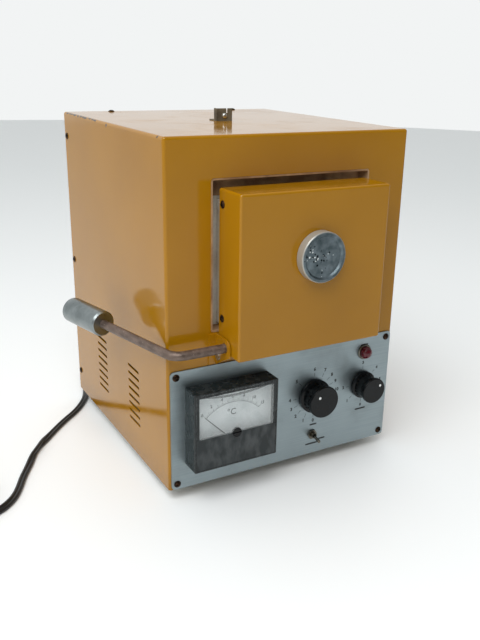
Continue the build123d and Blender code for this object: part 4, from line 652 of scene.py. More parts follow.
# %% Screws, shafts and other small metal parts
def machined_metal(name, colour, roughness, worn=None):
    """A small turned or plated metal part: fine tool marks, slightly uneven, spotted where worn."""
    finish, place = new_finish(name, Metallic=1.0, Roughness=roughness)
    cloud = add(finish, "TexNoise", {"Vector": place, "Scale": 1 / 0.0025, "Detail": 5.0})
    spots = add(finish, "MapRange", {"Value": cloud, "From Min": 0.45, "From Max": 0.7})
    tone = add(finish, "Mix", {0: spots, 6: linear(colour), 7: linear(worn or colour)}, **RGBA)
    spread = {"To Min": roughness - 0.08, "To Max": roughness + 0.12}
    gloss = add(finish, "MapRange", {"Value": cloud, **spread})
    bump = add(finish, "Bump", {"Height": cloud, "Distance": 0.00002, "Strength": 0.4})
    show(finish, Base_Color=tone, Roughness=gloss, Normal=bump)
    return finish


# slot: the finish's name, colour and roughness, and its colour where worn
SMALL_METALS = {
    "dark_screws": ("blackened_steel", "#2B241F", 0.42, "#5C4432"),
    "zinc_screws": ("zinc_plate", "#B4B8B8", 0.3),
    "movement_metal": ("movement_metal", "#8C8A84", 0.45),
    "black_needle": ("needle_paint", "#101010", 0.5),
    "shaft_steel": ("ground_shaft", "#B0B2B2", 0.25),
    "plated_brass": ("nickel_plate", "#77736A", 0.3, "#5A5344"),
}
for slot_name, values in SMALL_METALS.items():
    finishes[slot_name] = machined_metal(*values)
own_finish["vent_screw"] = machined_metal("bright_screw", "#DDDFDC", 0.35)

# %% [markdown]
# ### Moulded, fired and packed materials
# A moulding takes its gloss from its mould and loses it where hands and dust get to it. A fired or
# packed material scatters light from a rough skin, so it has hardly any gloss, and its bump does
# most of the work.

# %% [markdown]
# The knobs and the bodies behind them are black phenolic, the mains plug is a duller moulding, and
# the feet are rubber. They differ in how glossy they are, so one function does them, and dust in
# the grain keeps them from being plain black.

# %% Black mouldings
def black_moulding(name, roughness, colour="#060809"):
    """Black phenolic or flexible moulding: even and dark, dust in its grain, rubbed glossy."""
    finish, place = new_finish(name, IOR=1.45, Specular_IOR_Level=0.3)
    fine = {"Scale": 1 / 0.004, "Detail": 7.0, "Roughness": 0.7}
    dust = add(finish, "TexNoise", {"Vector": place, **fine})
    patchy = {"From Min": 0.5, "From Max": 0.85, "To Max": 0.35}
    grey = add(finish, "MapRange", {"Value": dust, **patchy})
    tone = add(finish, "Mix", {0: grey, 6: linear(colour), 7: linear("#333C42")}, **RGBA)
    spread = {"To Min": roughness - 0.06, "To Max": roughness + 0.14}
    gloss = add(finish, "MapRange", {"Value": dust, **spread})
    grain = add(finish, "TexNoise", {"Vector": place, "Scale": 1 / 0.0007, "Detail": 2.0})
    bump = add(finish, "Bump", {"Height": grain, "Distance": 0.00002, "Strength": 0.5})
    show(finish, Base_Color=tone, Roughness=gloss, Normal=bump)
    return finish


finishes["rubber"] = black_moulding("foot_rubber", 0.62, colour="#161616")
finishes["black_moulding"] = black_moulding("black_phenolic", 0.2)
own_finish["mains_plug"] = black_moulding("plug_moulding", 0.35)

# %% [markdown]
# The meter's housing and lower cover are smoked polystyrene. Really it lets a little light through,
# but behind it is a dark box, so an opaque dark finish looks the same and renders without noise.

# %% Smoked polystyrene
def smoked_moulding(name, colour, dull, marked):
    """Smoked polystyrene: dark grey and glossy, mottled by finger marks and wiped dust."""
    finish, place = new_finish(name, IOR=1.45)
    wiped = add(finish, "Mapping", {"Vector": place, "Scale": (1.0, 1.0, 0.5)})
    mottle = add(finish, "TexNoise", {"Vector": wiped, "Scale": 1 / 0.008, "Detail": 6.0})
    pressed = {"From Min": 0.42, "From Max": 0.68, "To Max": marked}
    marks = add(finish, "MapRange", {"Value": mottle, **pressed})
    tone = add(finish, "Mix", {0: marks, 6: linear(colour), 7: linear("#45494A")}, **RGBA)
    gloss = add(finish, "MapRange", {"Value": mottle, "To Min": dull - 0.05, "To Max": dull + 0.25})
    show(finish, Base_Color=tone, Roughness=gloss)
    return finish


finishes["smoked_case"] = smoked_moulding("smoked_case", "#12191A", 0.16, 0.35)
own_finish["meter_cover"] = smoked_moulding("clouded_cover", "#1A2123", 0.3, 0.85)

# %% [markdown]
# The meter's window is clear acrylic. Real transmission would bend the dial and darken it, so the
# window is mostly see-through by its alpha, and its reflections do the rest.

# %% Clear acrylic
def clear_front():
    """Clear acrylic window: nearly invisible, it shows by its reflections and a few scratches."""
    finish, place = new_finish("clear_front", Base_Color=linear("#E8EEEE"), IOR=1.49, Alpha=0.16)
    slanting = {"Scale": (1.0, 1.0, 6.0), "Rotation": (0.0, 0.5, 0.0)}
    drawn = add(finish, "Mapping", {"Vector": place, **slanting})
    scratches = add(finish, "TexNoise", {"Vector": drawn, "Scale": 1 / 0.003, "Detail": 4.0})
    worn = {"From Min": 0.5, "From Max": 0.8, "To Min": 0.04, "To Max": 0.3}
    gloss = add(finish, "MapRange", {"Value": scratches, **worn})
    show(finish, Roughness=gloss)
    return finish


finishes["clear_front"] = clear_front()

# %% [markdown]
# The lamp's lens is thick red acrylic with nothing lit behind it. A third of its light goes
# through, which gives the depth, and the rest comes from its own dark red.

# %% Red acrylic
def red_lens():
    """Transparent red acrylic over a dark lamp: deep red, with an uneven depth."""
    finish, place = new_finish("red_lens", Roughness=0.12, IOR=1.49, Transmission_Weight=0.35)
    depth = add(finish, "TexNoise", {"Vector": place, "Scale": 1 / 0.003, "Detail": 2.0})
    tone = add(finish, "Mix", {0: depth, 6: linear("#4A0C15"), 7: linear("#902838")}, **RGBA)
    show(finish, Base_Color=tone)
    return finish


finishes["red_lens"] = red_lens()

# %% [markdown]
# The meter's scale plate is painted matt white, so that it doesn't mirror the reader. Faint grey
# clouds stop it from looking like paper.

# %% White scale paint
def scale_enamel():
    """Matt white paint on the meter's scale plate, with faint grey finger clouds."""
    finish, place = new_finish("scale_enamel", Roughness=0.55)
    cloud = add(finish, "TexNoise", {"Vector": place, "Scale": 1 / 0.01, "Detail": 4.0})
    grey = add(finish, "MapRange", {"Value": cloud, "From Min": 0.4, "From Max": 0.8})
    tone = add(finish, "Mix", {0: grey, 6: linear("#DDE3E4"), 7: linear("#C3CBCD")}, **RGBA)
    show(finish, Base_Color=tone)
    return finish


finishes["white_scale"] = scale_enamel()

# %% [markdown]
# The lead's sheath is soft black PVC. It picks up dust where it lies, and its skin is a little wavy
# from the way it is pressed out round the cores.

# %% PVC sheath
def lead_sheath():
    """Soft black PVC: dull, faintly wavy, grey with dust where it lies."""
    finish, place = new_finish("lead_sheath", Roughness=0.45)
    dust = add(finish, "TexNoise", {"Vector": place, "Scale": 1 / 0.009, "Detail": 7.0})
    grey = add(finish, "MapRange", {"Value": dust, "From Min": 0.5, "From Max": 0.8, "To Max": 0.3})
    tone = add(finish, "Mix", {0: grey, 6: linear("#0E0F10"), 7: linear("#3A3B3B")}, **RGBA)
    skin = add(finish, "TexNoise", {"Vector": place, "Scale": 1 / 0.0016, "Detail": 3.0})
    bump = add(finish, "Bump", {"Height": skin, "Distance": 0.00005, "Strength": 0.5})
    show(finish, Base_Color=tone, Normal=bump)
    return finish


finishes["cord_black"] = lead_sheath()
mains_lead.data.materials.append(finishes["cord_black"])

# %% [markdown]
# The door's block, the board round the mouth and the packing are compressed ceramic fibre: white,
# soft and felted, scorched brown where the fire reached it.

# %% Ceramic fibre
def ceramic_fibre():
    """Compressed white fibre: matt, felted every 2 mm, scorched brown in patches by the fire."""
    finish, place = new_finish("ceramic_fibre", Roughness=0.95, Specular_IOR_Level=0.15)
    fine = {"Scale": 1 / 0.002, "Detail": 8.0, "Roughness": 0.7}
    felt = add(finish, "TexNoise", {"Vector": place, **fine})
    patch = add(finish, "TexNoise", {"Vector": place, "Scale": 1 / 0.03, "Detail": 5.0})
    burnt = {"From Min": 0.5, "From Max": 0.75, "To Max": 0.6}
    scorch = add(finish, "MapRange", {"Value": patch, **burnt})
    colour = add(finish, "Mix", {0: scorch, 6: linear("#E4DFD2"), 7: linear("#B9A68A")}, **RGBA)
    # Painted shade: the felt's hollows are darkened towards grey.
    hollows = {"From Min": 0.25, "From Max": 0.7, "To Min": 0.35, "To Max": 0.0}
    shade = add(finish, "MapRange", {"Value": felt, **hollows})
    colour = add(finish, "Mix", {0: shade, 6: colour, 7: linear("#8F8878")}, **RGBA)
    bump = add(finish, "Bump", {"Height": felt, "Distance": 0.0004, "Strength": 0.7})
    show(finish, Base_Color=colour, Normal=bump)
    return finish


finishes["fibre_board"] = ceramic_fibre()

# %% [markdown]
# The chamber is fireclay. The grog in it, crushed fired clay, shows as dark specks, which are the
# middles of Voronoi cells.

# %% Fireclay
def fired_clay():
    """Fireclay: buff, speckled with grog of a millimetre, greyed inside by use."""
    finish, place = new_finish("fired_clay", Roughness=0.9, Specular_IOR_Level=0.2)
    grog = add(finish, "TexVoronoi", {"Vector": place, "Scale": 1 / 0.0028})
    specks = add(finish, "MapRange", {"Value": grog, "From Min": 0.22, "From Max": 0.12})
    patch = add(finish, "TexNoise", {"Vector": place, "Scale": 1 / 0.025, "Detail": 5.0})
    tone = add(finish, "MapRange", {"Value": patch, "From Min": 0.35, "From Max": 0.7})
    colour = add(finish, "Mix", {0: tone, 6: linear("#CDBB9E"), 7: linear("#A79679")}, **RGBA)
    colour = add(finish, "Mix", {0: specks, 6: colour, 7: linear("#6F5A44")}, **RGBA)
    rough = add(finish, "TexNoise", {"Vector": place, "Scale": 1 / 0.0009, "Detail": 4.0})
    bump = add(finish, "Bump", {"Height": rough, "Distance": 0.0002, "Strength": 0.6})
    show(finish, Base_Color=colour, Normal=bump)
    return finish


finishes["fireclay"] = fired_clay()

# %% [markdown]
# The wire is wound round the chamber and covered with grey cement. The sleeve is smooth in CAD, so
# a wave along the winding's axis shows where the turns lie.

# %% Winding cement
def winding_cement():
    """Grey cement over the wire: a ridge every 4 mm where a turn of wire lies under it."""
    finish, place = new_finish("winding_cement", Roughness=0.92, Specular_IOR_Level=0.15)
    wave = {"Vector": place, "Scale": WAVE_PERIOD / 0.004, "Distortion": 0.8}
    ridges = add(finish, "TexWave", wave, out=1, bands_direction="Y")
    lumps = add(finish, "TexNoise", {"Vector": place, "Scale": 1 / 0.003, "Detail": 6.0})
    colour = add(finish, "Mix", {0: lumps, 6: linear("#7D7468"), 7: linear("#A79C8C")}, **RGBA)
    height = add(finish, "Math", {0: ridges, 1: lumps}, operation="ADD")
    bump = add(finish, "Bump", {"Height": height, "Distance": 0.0006, "Strength": 0.6})
    show(finish, Base_Color=colour, Normal=bump)
    return finish


finishes["winding_cement"] = winding_cement()

# %% [markdown]
# ### Who gets what
# The record says which slot each CAD node takes its finish from, so no list has to be kept here.
# Four nodes look different from their neighbours in the same slot and have a finish of their own.

# %% Dress the CAD nodes
for subpart in frame["record"]["subparts"]:
    name = subpart["node"]
    finish = own_finish.get(name, finishes[subpart["material_slot"]])
    for slot in nodes[name].material_slots:
        slot.material = finish

# %% [markdown]
# ## Crossed screw heads
# The CAD model has plain domes, because a cross recess is too fine for it. A Boolean could cut the
# cross, but it leaves long thin faces. Here a head is a grid of distances from its axis by angles.
# In every quarter some columns follow the two edges of the cross, so that the recess has straight,
# sharp walls with few faces.

# %% The shape of a head and where it sits
FACING = {
    "front": np.array([[1, 0, 0], [0, 0, 1], [0, -1, 0]]),
    "left": np.array([[0, -1, 0], [0, 0, 1], [-1, 0, 0]]),
    "right": np.array([[0, 1, 0], [0, 0, 1], [1, 0, 0]]),
    "roof": np.array([[1, 0, 0], [0, 1, 0], [0, 0, 1]]),
}
HEAD_R = 0.0034
HEAD_H = 0.0018
ARM_SHARE = 0.15  # half an arm's width, of the radius
REACH_SHARE = 0.62  # how far an arm reaches, of the radius
RIM_SHARE = 0.25  # the low rim, of the height
DEPTH_SHARE = 0.45  # how deep the cross is, of the height
JUST_INSIDE = 0.86  # points this close to both sides of an edge make a steep wall
JUST_OUTSIDE = 1.06


def placed(grid, at, facing, turn=0.0):
    """Turns a grid about its own axis, lays it on a face of the case and moves it there."""
    cos, sin = math.cos(turn), math.sin(turn)
    spin = np.array([[cos, sin, 0], [-sin, cos, 0], [0, 0, 1]])
    return grid @ spin @ FACING[facing] + np.array(at)


def crossed_head(radius, height):
    """A dome, height * (1 - (r / radius)^2) over a low rim, with a cross sunk into it.

    An arm of half width w has its edge at the angle asin(w / r); inside it, out to the arm's
    reach, the dome is lowered by the depth of the recess."""
    half_arm = ARM_SHARE * radius
    core = half_arm / math.sin(math.pi / 4)
    reach = REACH_SHARE * radius
    share = np.array([0.42, REACH_SHARE, 0.645, 0.8, 0.93, 1.0, 1.0])
    out = np.concatenate([[0, core, core * JUST_OUTSIDE], share * radius])
    edge = np.arcsin(np.clip(half_arm / np.maximum(out, 1e-9), 0, math.sin(math.pi / 4)))[:, None]
    between = edge + (math.pi / 2 - 2 * edge) * np.linspace(0, 1, 7)[None, :]
    inside = [-edge * JUST_INSIDE, 0 * edge, edge * JUST_INSIDE]
    quarter = np.concatenate([*inside, between], axis=1)
    angle = np.concatenate([quarter + k * math.pi / 2 for k in range(4)], axis=1)
    in_arm = np.tile(np.arange(10) < 3, 4)[None, :]
    sunk = (in_arm & (out <= reach)[:, None]) | (out <= core)[:, None]
    dome = height * (RIM_SHARE + (1 - RIM_SHARE) * (1 - (out / radius) ** 2))
    dome[-1] = 0.0
    z = dome[:, None] - DEPTH_SHARE * height * sunk
    out = out[:, None]
    return np.stack([out * np.cos(angle), out * np.sin(angle), z + 0 * angle], axis=2)


head = crossed_head(HEAD_R, HEAD_H)
print("a head has", head.shape[0] * head.shape[1], "points")

# %% Put heads on the case, the panel and the door
ROOF_SCREW_X = 0.0746
FIRST_TURN = 0.4
NEXT_TURN = 2.4


def screws(name, node, places, body):
    """A group of heads that stands for a CAD node of plain screws; no two crosses are alike."""
    grids = [
        placed(head, at, facing, FIRST_TURN + NEXT_TURN * index)
        for index, (at, facing) in enumerate(places)
    ]
    piece = make_piece(name, grids, body)
    piece.data.materials.append(finishes["dark_screws"])
    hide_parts(node)


case_low, case_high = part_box("casing")
screw_low, screw_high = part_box("case_screws")
screw_y = (screw_low.y + screw_high.y) / 2
lowest = screw_low.z + HEAD_R
pitch = (case_high.z + case_low.z) / 2 - lowest
case_places = [((case_low.x, screw_y, lowest + pitch * k), "left") for k in range(3)]
case_places += [((case_high.x, screw_y, lowest + pitch * k), "right") for k in range(3)]
case_places += [((x, screw_y, case_high.z), "roof") for x in (-ROOF_SCREW_X, ROOF_SCREW_X)]
screws("case_screw_heads", "case_screws", case_places, "case")

panel_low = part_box("instrument_panel")[0]
screw_low, screw_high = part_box("panel_screws")
across_panel = (screw_low.x + HEAD_R, screw_high.x - HEAD_R)
up_panel = (screw_low.z + HEAD_R, screw_high.z - HEAD_R)
panel_places = [((x, panel_low.y, z), "front") for x in across_panel for z in up_panel]
screws("panel_screw_heads", "panel_screws", panel_places, "case")

pan_low, pan_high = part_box("door_pan")
screw_low, screw_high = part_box("door_screws")
screw_y = (screw_low.y + screw_high.y) / 2
heights = (screw_low.z + HEAD_R, screw_high.z - HEAD_R)
door_places = [((pan_low.x, screw_y, z), "left") for z in heights]
door_places += [((pan_high.x, screw_y, z), "right") for z in heights]
screws("door_screw_heads", "door_screws", door_places, "door")

# %% [markdown]
# ## Printed marks
# The panel and the meter's scale are screen printed. A picture on the panel could show the print,
# but it would blur close up. So a mark is a very thin pad of ink: a rounded outline, its wall and
# its top. Ticks stand in rings round the knobs, and a short bar marks each control.

# %% Pads, and ticks in a ring
INK_T = 0.00006


def pad(length, width, count=20):
    """A thin pad: the superellipse |x/a|^4 + |y/b|^4 = 1, a wall of its height and a flat top."""
    angle = np.linspace(0, 2 * math.pi, count, endpoint=False)
    cos, sin = np.cos(angle), np.sin(angle)
    along = length / 2 * np.sign(cos) * np.sqrt(abs(cos))
    aside = width / 2 * np.sign(sin) * np.sqrt(abs(sin))
    outline = np.stack([along, aside, 0 * cos], axis=1)
    top = outline + [0, 0, INK_T]
    return np.stack([outline, top, 0 * outline + [0, 0, INK_T]])


def around(middle, radius, angle_deg):
    """The point on the front at a radius from a middle, anticlockwise from the right."""
    angle = math.radians(angle_deg)
    return middle + radius * np.array([math.cos(angle), 0.0, math.sin(angle)])


def ring_of_ticks(middle, radius, angles_deg, length, width):
    """Radial ticks on the front, their middles at a radius, at angles from the right."""
    tick = pad(length, width)
    return [
        placed(tick, around(middle, radius, angle), "front", math.radians(angle))
        for angle in angles_deg
    ]


def printing_ink(name, colour):
    """Screen-printed ink: flat and a little thin in places."""
    finish, place = new_finish(name, Roughness=0.5)
    thin = add(finish, "TexNoise", {"Vector": place, "Scale": 1 / 0.0008, "Detail": 3.0})
    pale = add(finish, "MapRange", {"Value": thin, "From Min": 0.5, "From Max": 0.9, "To Max": 0.5})
    tone = add(finish, "Mix", {0: pale, 6: linear(colour), 7: linear("#6E7273")}, **RGBA)
    show(finish, Base_Color=tone)
    return finish


# %% The panel's marks
panel_front = panel_low.y
regulator = np.array([0.031, panel_front, 0.077])
selector = np.array([0.0906, panel_front, 0.0774])
# degrees anticlockwise from the right, one for each number from 0 up
REGULATOR_ANGLES = [271, 246, 222.5, 201.5, 180.5, 138, 90, 63, 41, 22, 1.5]
SELECTOR_ANGLES = [269.5, 222, 180, 90, 40, 2]
# x, z and length of each bar
BARS = [
    (0.032, 0.0447, 0.0085), (0.043, 0.0266, 0.0085), (0.031, 0.0233, 0.015),
    (0.0906, 0.1205, 0.0095), (0.0904, 0.0495, 0.0135),
]
BAR_W = 0.0018
TICK_W = 0.0004
REGULATOR_TICKS_R, REGULATOR_TICK_L = 0.0222, 0.0042
SELECTOR_TICKS_R, SELECTOR_TICK_L = 0.0183, 0.0036
marks = ring_of_ticks(regulator, REGULATOR_TICKS_R, REGULATOR_ANGLES, REGULATOR_TICK_L, TICK_W)
marks += ring_of_ticks(selector, SELECTOR_TICKS_R, SELECTOR_ANGLES, SELECTOR_TICK_L, TICK_W)
marks += [placed(pad(length, BAR_W), (x, panel_front, z), "front") for x, z, length in BARS]
panel_ink = printing_ink("panel_ink", "#0C1011")
panel_marks = make_piece("panel_marks", marks, "case", sharp=30)
panel_marks.data.materials.append(panel_ink)

# %% [markdown]
# The numbers could be drawn stroke by stroke, but Blender's own font is there already. They are
# Blender text, turned into a mesh at once and then laid on the front, so that the finished piece
# sits at the origin like every other one.

# %% Numbers on the front
REGULATOR_NUMBERS_R, REGULATOR_NUMBER_H = 0.0278, 0.0047
SELECTOR_NUMBERS_R, SELECTOR_NUMBER_H = 0.0235, 0.0043
PANEL_BOLD = 0.00024


def lettering(name, labels, body, bold):
    """One mesh of labels on the front; a label is its text, its middle and its size in metres."""
    points, faces = [], []
    first = 0
    for words, at, size in labels:
        curve = bpy.data.curves.new(name, "FONT")
        curve.body = words
        curve.size = size
        curve.align_x = "CENTER"
        curve.align_y = "CENTER"
        curve.extrude = INK_T / 2
        curve.offset = bold
        curve.resolution_u = 3
        flat, outlines = read_back(curve)
        points.append(flat @ FACING["front"] + np.array(at))
        faces += [(first + outline).tolist() for outline in outlines]
        first += len(flat)
    print(name, [label[0] for label in labels])
    return mesh_piece(name, np.concatenate(points), faces, body, 30)


def numbers_around(middle, radius, angles_deg, size, step=1):
    """Labels with the numbers 0, step, 2 steps and so on in a ring."""
    return [
        (str(step * index), around(middle, radius, angle), size)
        for index, angle in enumerate(angles_deg)
    ]


panel_labels = numbers_around(
    regulator, REGULATOR_NUMBERS_R, REGULATOR_ANGLES, REGULATOR_NUMBER_H
)
panel_labels += numbers_around(selector, SELECTOR_NUMBERS_R, SELECTOR_ANGLES, SELECTOR_NUMBER_H)
panel_numbers = lettering("panel_numbers", panel_labels, "case", PANEL_BOLD)
panel_numbers.data.materials.append(panel_ink)

# %% [markdown]
# The meter's scale is an arc just past the needle's tip, with a tick every 100 degrees and numbers
# in hundreds. The needle rests at 45 degrees to the left, where the scale starts, so the angles of
# the marks come from the needle's own sweep.

# %% The meter's scale
dial_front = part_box("meter_dial")[0].y
pivot = np.array([-0.066, dial_front, 0.057])
SCALE_R = 0.0385
SCALE_FROM = 135
SCALE_TO = 45
SCALE_STEPS = 12
ARC_W = 0.0003
LONG_TICK = (0.0032, 0.00035)
FINE_TICK = (0.0018, 0.0002)
NUMBERS_OUT = 0.0056
SCALE_NUMBER_H = 0.0042
SCALE_BOLD = 0.00014
UNIT_H = 0.0088
UNIT_SHIFT = (-0.0012, 0.0, 0.0285)
scale_angles = np.linspace(SCALE_FROM, SCALE_TO, SCALE_STEPS + 1)
fine_angles = np.linspace(SCALE_FROM, SCALE_TO, 5 * SCALE_STEPS + 1)


def arc_band(middle, radius, width, start_deg, end_deg, count=48):
    """A thin flat band along an arc: a rectangle as thick as the ink carried round the middle."""
    angle = np.radians(np.linspace(start_deg, end_deg, count))[:, None]
    reach = radius + width / 2 * np.array([-1, 1, 1, -1])[None, :]
    lift = INK_T * np.array([0, 0, 1, 1])[None, :] + 0 * angle
    return capped(np.stack([reach * np.cos(angle), -lift, reach * np.sin(angle)], axis=2) + middle)


scale_band = arc_band(pivot, SCALE_R, ARC_W, SCALE_FROM, SCALE_TO)
scale_arc = make_piece("scale_arc", [scale_band], "case", sharp=30)
ticks = ring_of_ticks(pivot, SCALE_R + LONG_TICK[0] / 2, scale_angles, *LONG_TICK)
ticks += ring_of_ticks(pivot, SCALE_R + FINE_TICK[0] / 2, fine_angles, *FINE_TICK)
scale_ticks = make_piece("scale_ticks", ticks, "case", sharp=30)
scale_labels = numbers_around(
    pivot, SCALE_R + NUMBERS_OUT, scale_angles[::2], SCALE_NUMBER_H, step=2
)
scale_labels.append(("°C", pivot + np.array(UNIT_SHIFT), UNIT_H))
scale_numbers = lettering("scale_numbers", scale_labels, "case", SCALE_BOLD)
scale_ink = printing_ink("scale_ink", "#1E2528")
for piece in (scale_arc, scale_ticks, scale_numbers):
    piece.data.materials.append(scale_ink)

# %% [markdown]
# The clear front is smoked along its edges, which hides the meter's works behind it. A band with
# mitred corners, just in front of the clear pane, gives that without a second material on the pane.

# %% The smoked edge of the meter's front
EDGE_SIDE_W = 0.0026
EDGE_TOP_W = 0.0024


def frame_band(low, high, inset, front):
    """A flat band inside a rectangle from low to high (x, z), mitred at its four corners."""
    x_side = np.array([low[0], high[0], high[0], low[0]])
    z_side = np.array([low[1], low[1], high[1], high[1]])
    x_in = x_side + inset[0] * np.array([1, -1, -1, 1])
    z_in = z_side + inset[1] * np.array([0, 0, -1, -1])
    outer = np.stack([x_side, 0 * x_side + front, z_side], axis=1)
    inner = np.stack([x_in, 0 * x_in + front, z_in], axis=1)
    lift = np.array([0.0, -INK_T, 0.0])
    return np.stack([outer, outer + lift, inner + lift, inner, outer])


window_low, window_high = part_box("meter_window")
window_corners = (window_low.x, window_low.z), (window_high.x, window_high.z)
edge_band = frame_band(*window_corners, (EDGE_SIDE_W, EDGE_TOP_W), window_low.y)
window_edge = make_piece("window_edge", [edge_band], "case", sharp=30)
window_edge.data.materials.append(finishes["smoked_case"])

# %% [markdown]
# Each knob has a white dot on its top, which is its pointer. A spot of white in the knob's material
# would do for one view, but a dot of its own stays round and crisp, and it turns with its knob.

# %% Pointer dots
DOT_H = 0.0005


def dome(radius, height, count=20):
    """A low round dome: height * (1 - (r / radius)^2), closed at its pole."""
    out = radius * np.sin(np.linspace(0, math.pi / 2, 6))[:, None]
    angle = np.linspace(0, 2 * math.pi, count, endpoint=False)[None, :]
    z = height * (1 - (out / radius) ** 2) + 0 * angle
    return np.stack([out * np.cos(angle), out * np.sin(angle), z], axis=2)


dot_paint, place = new_finish("dot_paint", Roughness=0.3, IOR=1.5)
wear = add(dot_paint, "TexNoise", {"Vector": place, "Scale": 1 / 0.0009, "Detail": 3.0})
white = add(dot_paint, "Mix", {0: wear, 6: linear("#F4F6F5"), 7: linear("#D9DBD8")}, **RGBA)
show(dot_paint, Base_Color=white)


def knob_dot(name, node, body, radius, angle_deg, size):
    """A low dome on a knob's top, at a radius from its axis."""
    low, high = (np.array(corner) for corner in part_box(node))
    top = (low + high) / 2
    top[1] = low[1]
    grid = placed(dome(size / 2, DOT_H), around(top, radius, angle_deg), "front")
    piece = make_piece(name, [grid], body)
    piece.data.materials.append(dot_paint)


knob_dot(
    "regulator_dot", "regulator_knob", "regulator_dial", radius=0.0080, angle_deg=135, size=0.0028
)
knob_dot(
    "selector_dot", "selector_knob", "selector_dial", radius=0.0085, angle_deg=35, size=0.0026
)

# %% [markdown]
# ## Hinge ears with a sloping lower edge
# The real ears taper below the rod, so that they hardly show under the door, and the CAD ears are
# plain angles. An ear is a plate with the rod's hole and a flange against the case. Its outline
# could be typed point by point. Instead it is worked out as the nearest of its straight edges, seen
# from the middle of the hole, so that the outline and the hole share their rays and every face
# between them has four corners.

# %% The two ears
EAR_T = 0.0015
EAR_HOLE = np.array([-0.1505, 0.152])
EAR_HOLE_R = 0.0045
CORNER_R = 0.008
SLOPE_AT = 0.0102
SLOPE_NORMAL = [-0.478, -0.878]
FLANGE_TO = 0.0082


def ear_outline(low, high, count=240):
    """Rays from the hole's middle in the (y, z) plane and the way along each to the outline.

    Along the ray u the outline lies at the least of d / (n . u) over its edges n . p = d. Five
    tangents of the corner's circle stand for the round, and one edge slopes below the rod."""
    corner = np.array([low[0] + CORNER_R, high[1] - CORNER_R]) - EAR_HOLE
    bend = np.radians([105, 120, 135, 150, 165])
    round_edges = np.stack([np.cos(bend), np.sin(bend)], axis=1)
    normals = np.concatenate([[[1, 0], [-1, 0], [0, 1], [0, -1], SLOPE_NORMAL], round_edges])
    past, short = high - EAR_HOLE, EAR_HOLE - low
    straight = [past[0], short[0], past[1], short[1], SLOPE_AT]
    offsets = np.concatenate([straight, round_edges @ corner + CORNER_R])
    angle = np.linspace(0, 2 * math.pi, count, endpoint=False)
    rays = np.stack([np.cos(angle), np.sin(angle)], axis=1)
    facing_edge = rays @ normals.T
    reach = np.where(facing_edge > 1e-6, offsets / np.maximum(facing_edge, 1e-6), np.inf)
    return rays, reach.min(axis=1)[:, None]


for side, node in ((-1, "hinge_ear_left"), (1, "hinge_ear_right")):
    low, high = (np.array(corner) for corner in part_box(node))
    inner = (high[0], low[0])[side > 0]
    rays, reach = ear_outline(low[1:], high[1:])
    rims = [EAR_HOLE + EAR_HOLE_R * rays, EAR_HOLE + reach * rays]
    levels = [inner, inner, inner + side * EAR_T, inner + side * EAR_T, inner]
    rings = [np.insert(rims[k], 0, x, axis=1) for k, x in zip((0, 1, 1, 0, 0), levels)]
    foot_x = np.array([levels[2], inner + side * FLANGE_TO])
    foot_z = np.array([low[2], high[2]])
    square = np.stack([foot_x[[0, 1, 1, 0]], np.zeros(4), foot_z[[0, 0, 1, 1]]], axis=1)
    flange = np.stack([square + [0.0, y, 0.0] for y in (high[1], high[1] - EAR_T)])
    ear = make_piece(node + "_shaped", [np.stack(rings), capped(flange)], "case")
    ear.data.materials.append(finishes["enamel"])
    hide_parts(node)

# %% [markdown]
# ## Floor, room and lamp
# The furnace stands on a pale bench in a pale room. Walls could be built, but they would shade the
# furnace in other views. So the room is the world's own light, darker on the viewer's side than
# behind and to the left, and one large soft lamp at the upper left gives the gentle shadows. The
# floor lies a hair below zero, so that nothing shares a plane with it.

# %% Floor
FLOOR_R = 4.0
FLOOR_RINGS = 24
FLOOR_SPOKES = 96
FLOOR_DROP = 0.0002

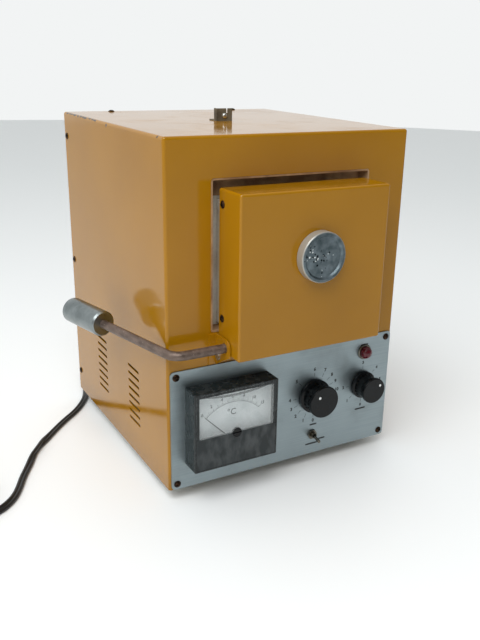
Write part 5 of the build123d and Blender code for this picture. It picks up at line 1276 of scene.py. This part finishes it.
ring = np.linspace(0.0, 1.0, FLOOR_RINGS)[:, None, None] ** 2
turn = np.linspace(0.0, 2 * math.pi, FLOOR_SPOKES, endpoint=False)[None, :, None]
floor_grid = FLOOR_R * ring * np.concatenate([np.cos(turn), np.sin(turn), 0 * turn], axis=2)
floor_grid[:, :, 2] -= FLOOR_DROP
floor = make_piece("floor", [floor_grid], None)
bench, place = new_finish("pale_bench", Roughness=0.5)
away = add(bench, "VectorMath", {0: place}, out=1, operation="LENGTH")
fade = {"From Min": 0.6, "From Max": 2.2}
far = add(bench, "MapRange", {"Value": away, **fade}, interpolation_type="SMOOTHSTEP")
white = add(bench, "Mix", {0: far, 6: linear("#F6F8F8"), 7: linear("#F2F5F5")}, **RGBA)
show(bench, Base_Color=white)
floor.data.materials.append(bench)
floor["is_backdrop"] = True

# %% World and lamp
ROOM_BACK = "#F2F4F4"
ROOM_FRONT = "#4C5052"
ROOM_BRIGHT_WAY = (-0.35, 0.94, 0.0)
LAMP_POWER = 31.0
LAMP_AT = Vector((-0.9, -0.9, 1.7))
LAMP_SIZE = 1.4

world = bpy.data.worlds.new("room")
bpy.context.scene.world = world
world.use_nodes = True
direction = add(world, "TexCoord", {})
facing_it = {0: direction, 1: ROOM_BRIGHT_WAY}
toward = add(world, "VectorMath", facing_it, out=1, operation="DOT_PRODUCT")
behind = add(world, "MapRange", {"Value": toward, "From Min": -0.9, "From Max": 0.3})
room = add(world, "Mix", {0: behind, 6: linear(ROOM_FRONT), 7: linear(ROOM_BACK)}, **RGBA)
background = world.node_tree.nodes["Background"]
world.node_tree.links.new(room, background.inputs["Color"])
background.inputs["Strength"].default_value = 1.0
bpy.context.scene.view_settings.view_transform = "Standard"

lamp = bpy.data.objects.new("soft_lamp", bpy.data.lights.new("soft_lamp", "AREA"))
bpy.context.scene.collection.objects.link(lamp)
lamp.data.size = LAMP_SIZE
lamp.data.energy = LAMP_POWER
lamp.matrix_world = Matrix.Translation(LAMP_AT) @ looking(-LAMP_AT)
print("lamp", LAMP_POWER, "W at", tuple(LAMP_AT))

# %% [markdown]
# ## The size
# The dressed model has to stay inside the CAD model's box, because the box is what others plan with.
# Both boxes are printed.

# %% Print both boxes
boxes = {"cad": cad_box, "visual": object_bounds()}
boxes = {name: [list(corner) for corner in box] for name, box in boxes.items()}
print(boxes)
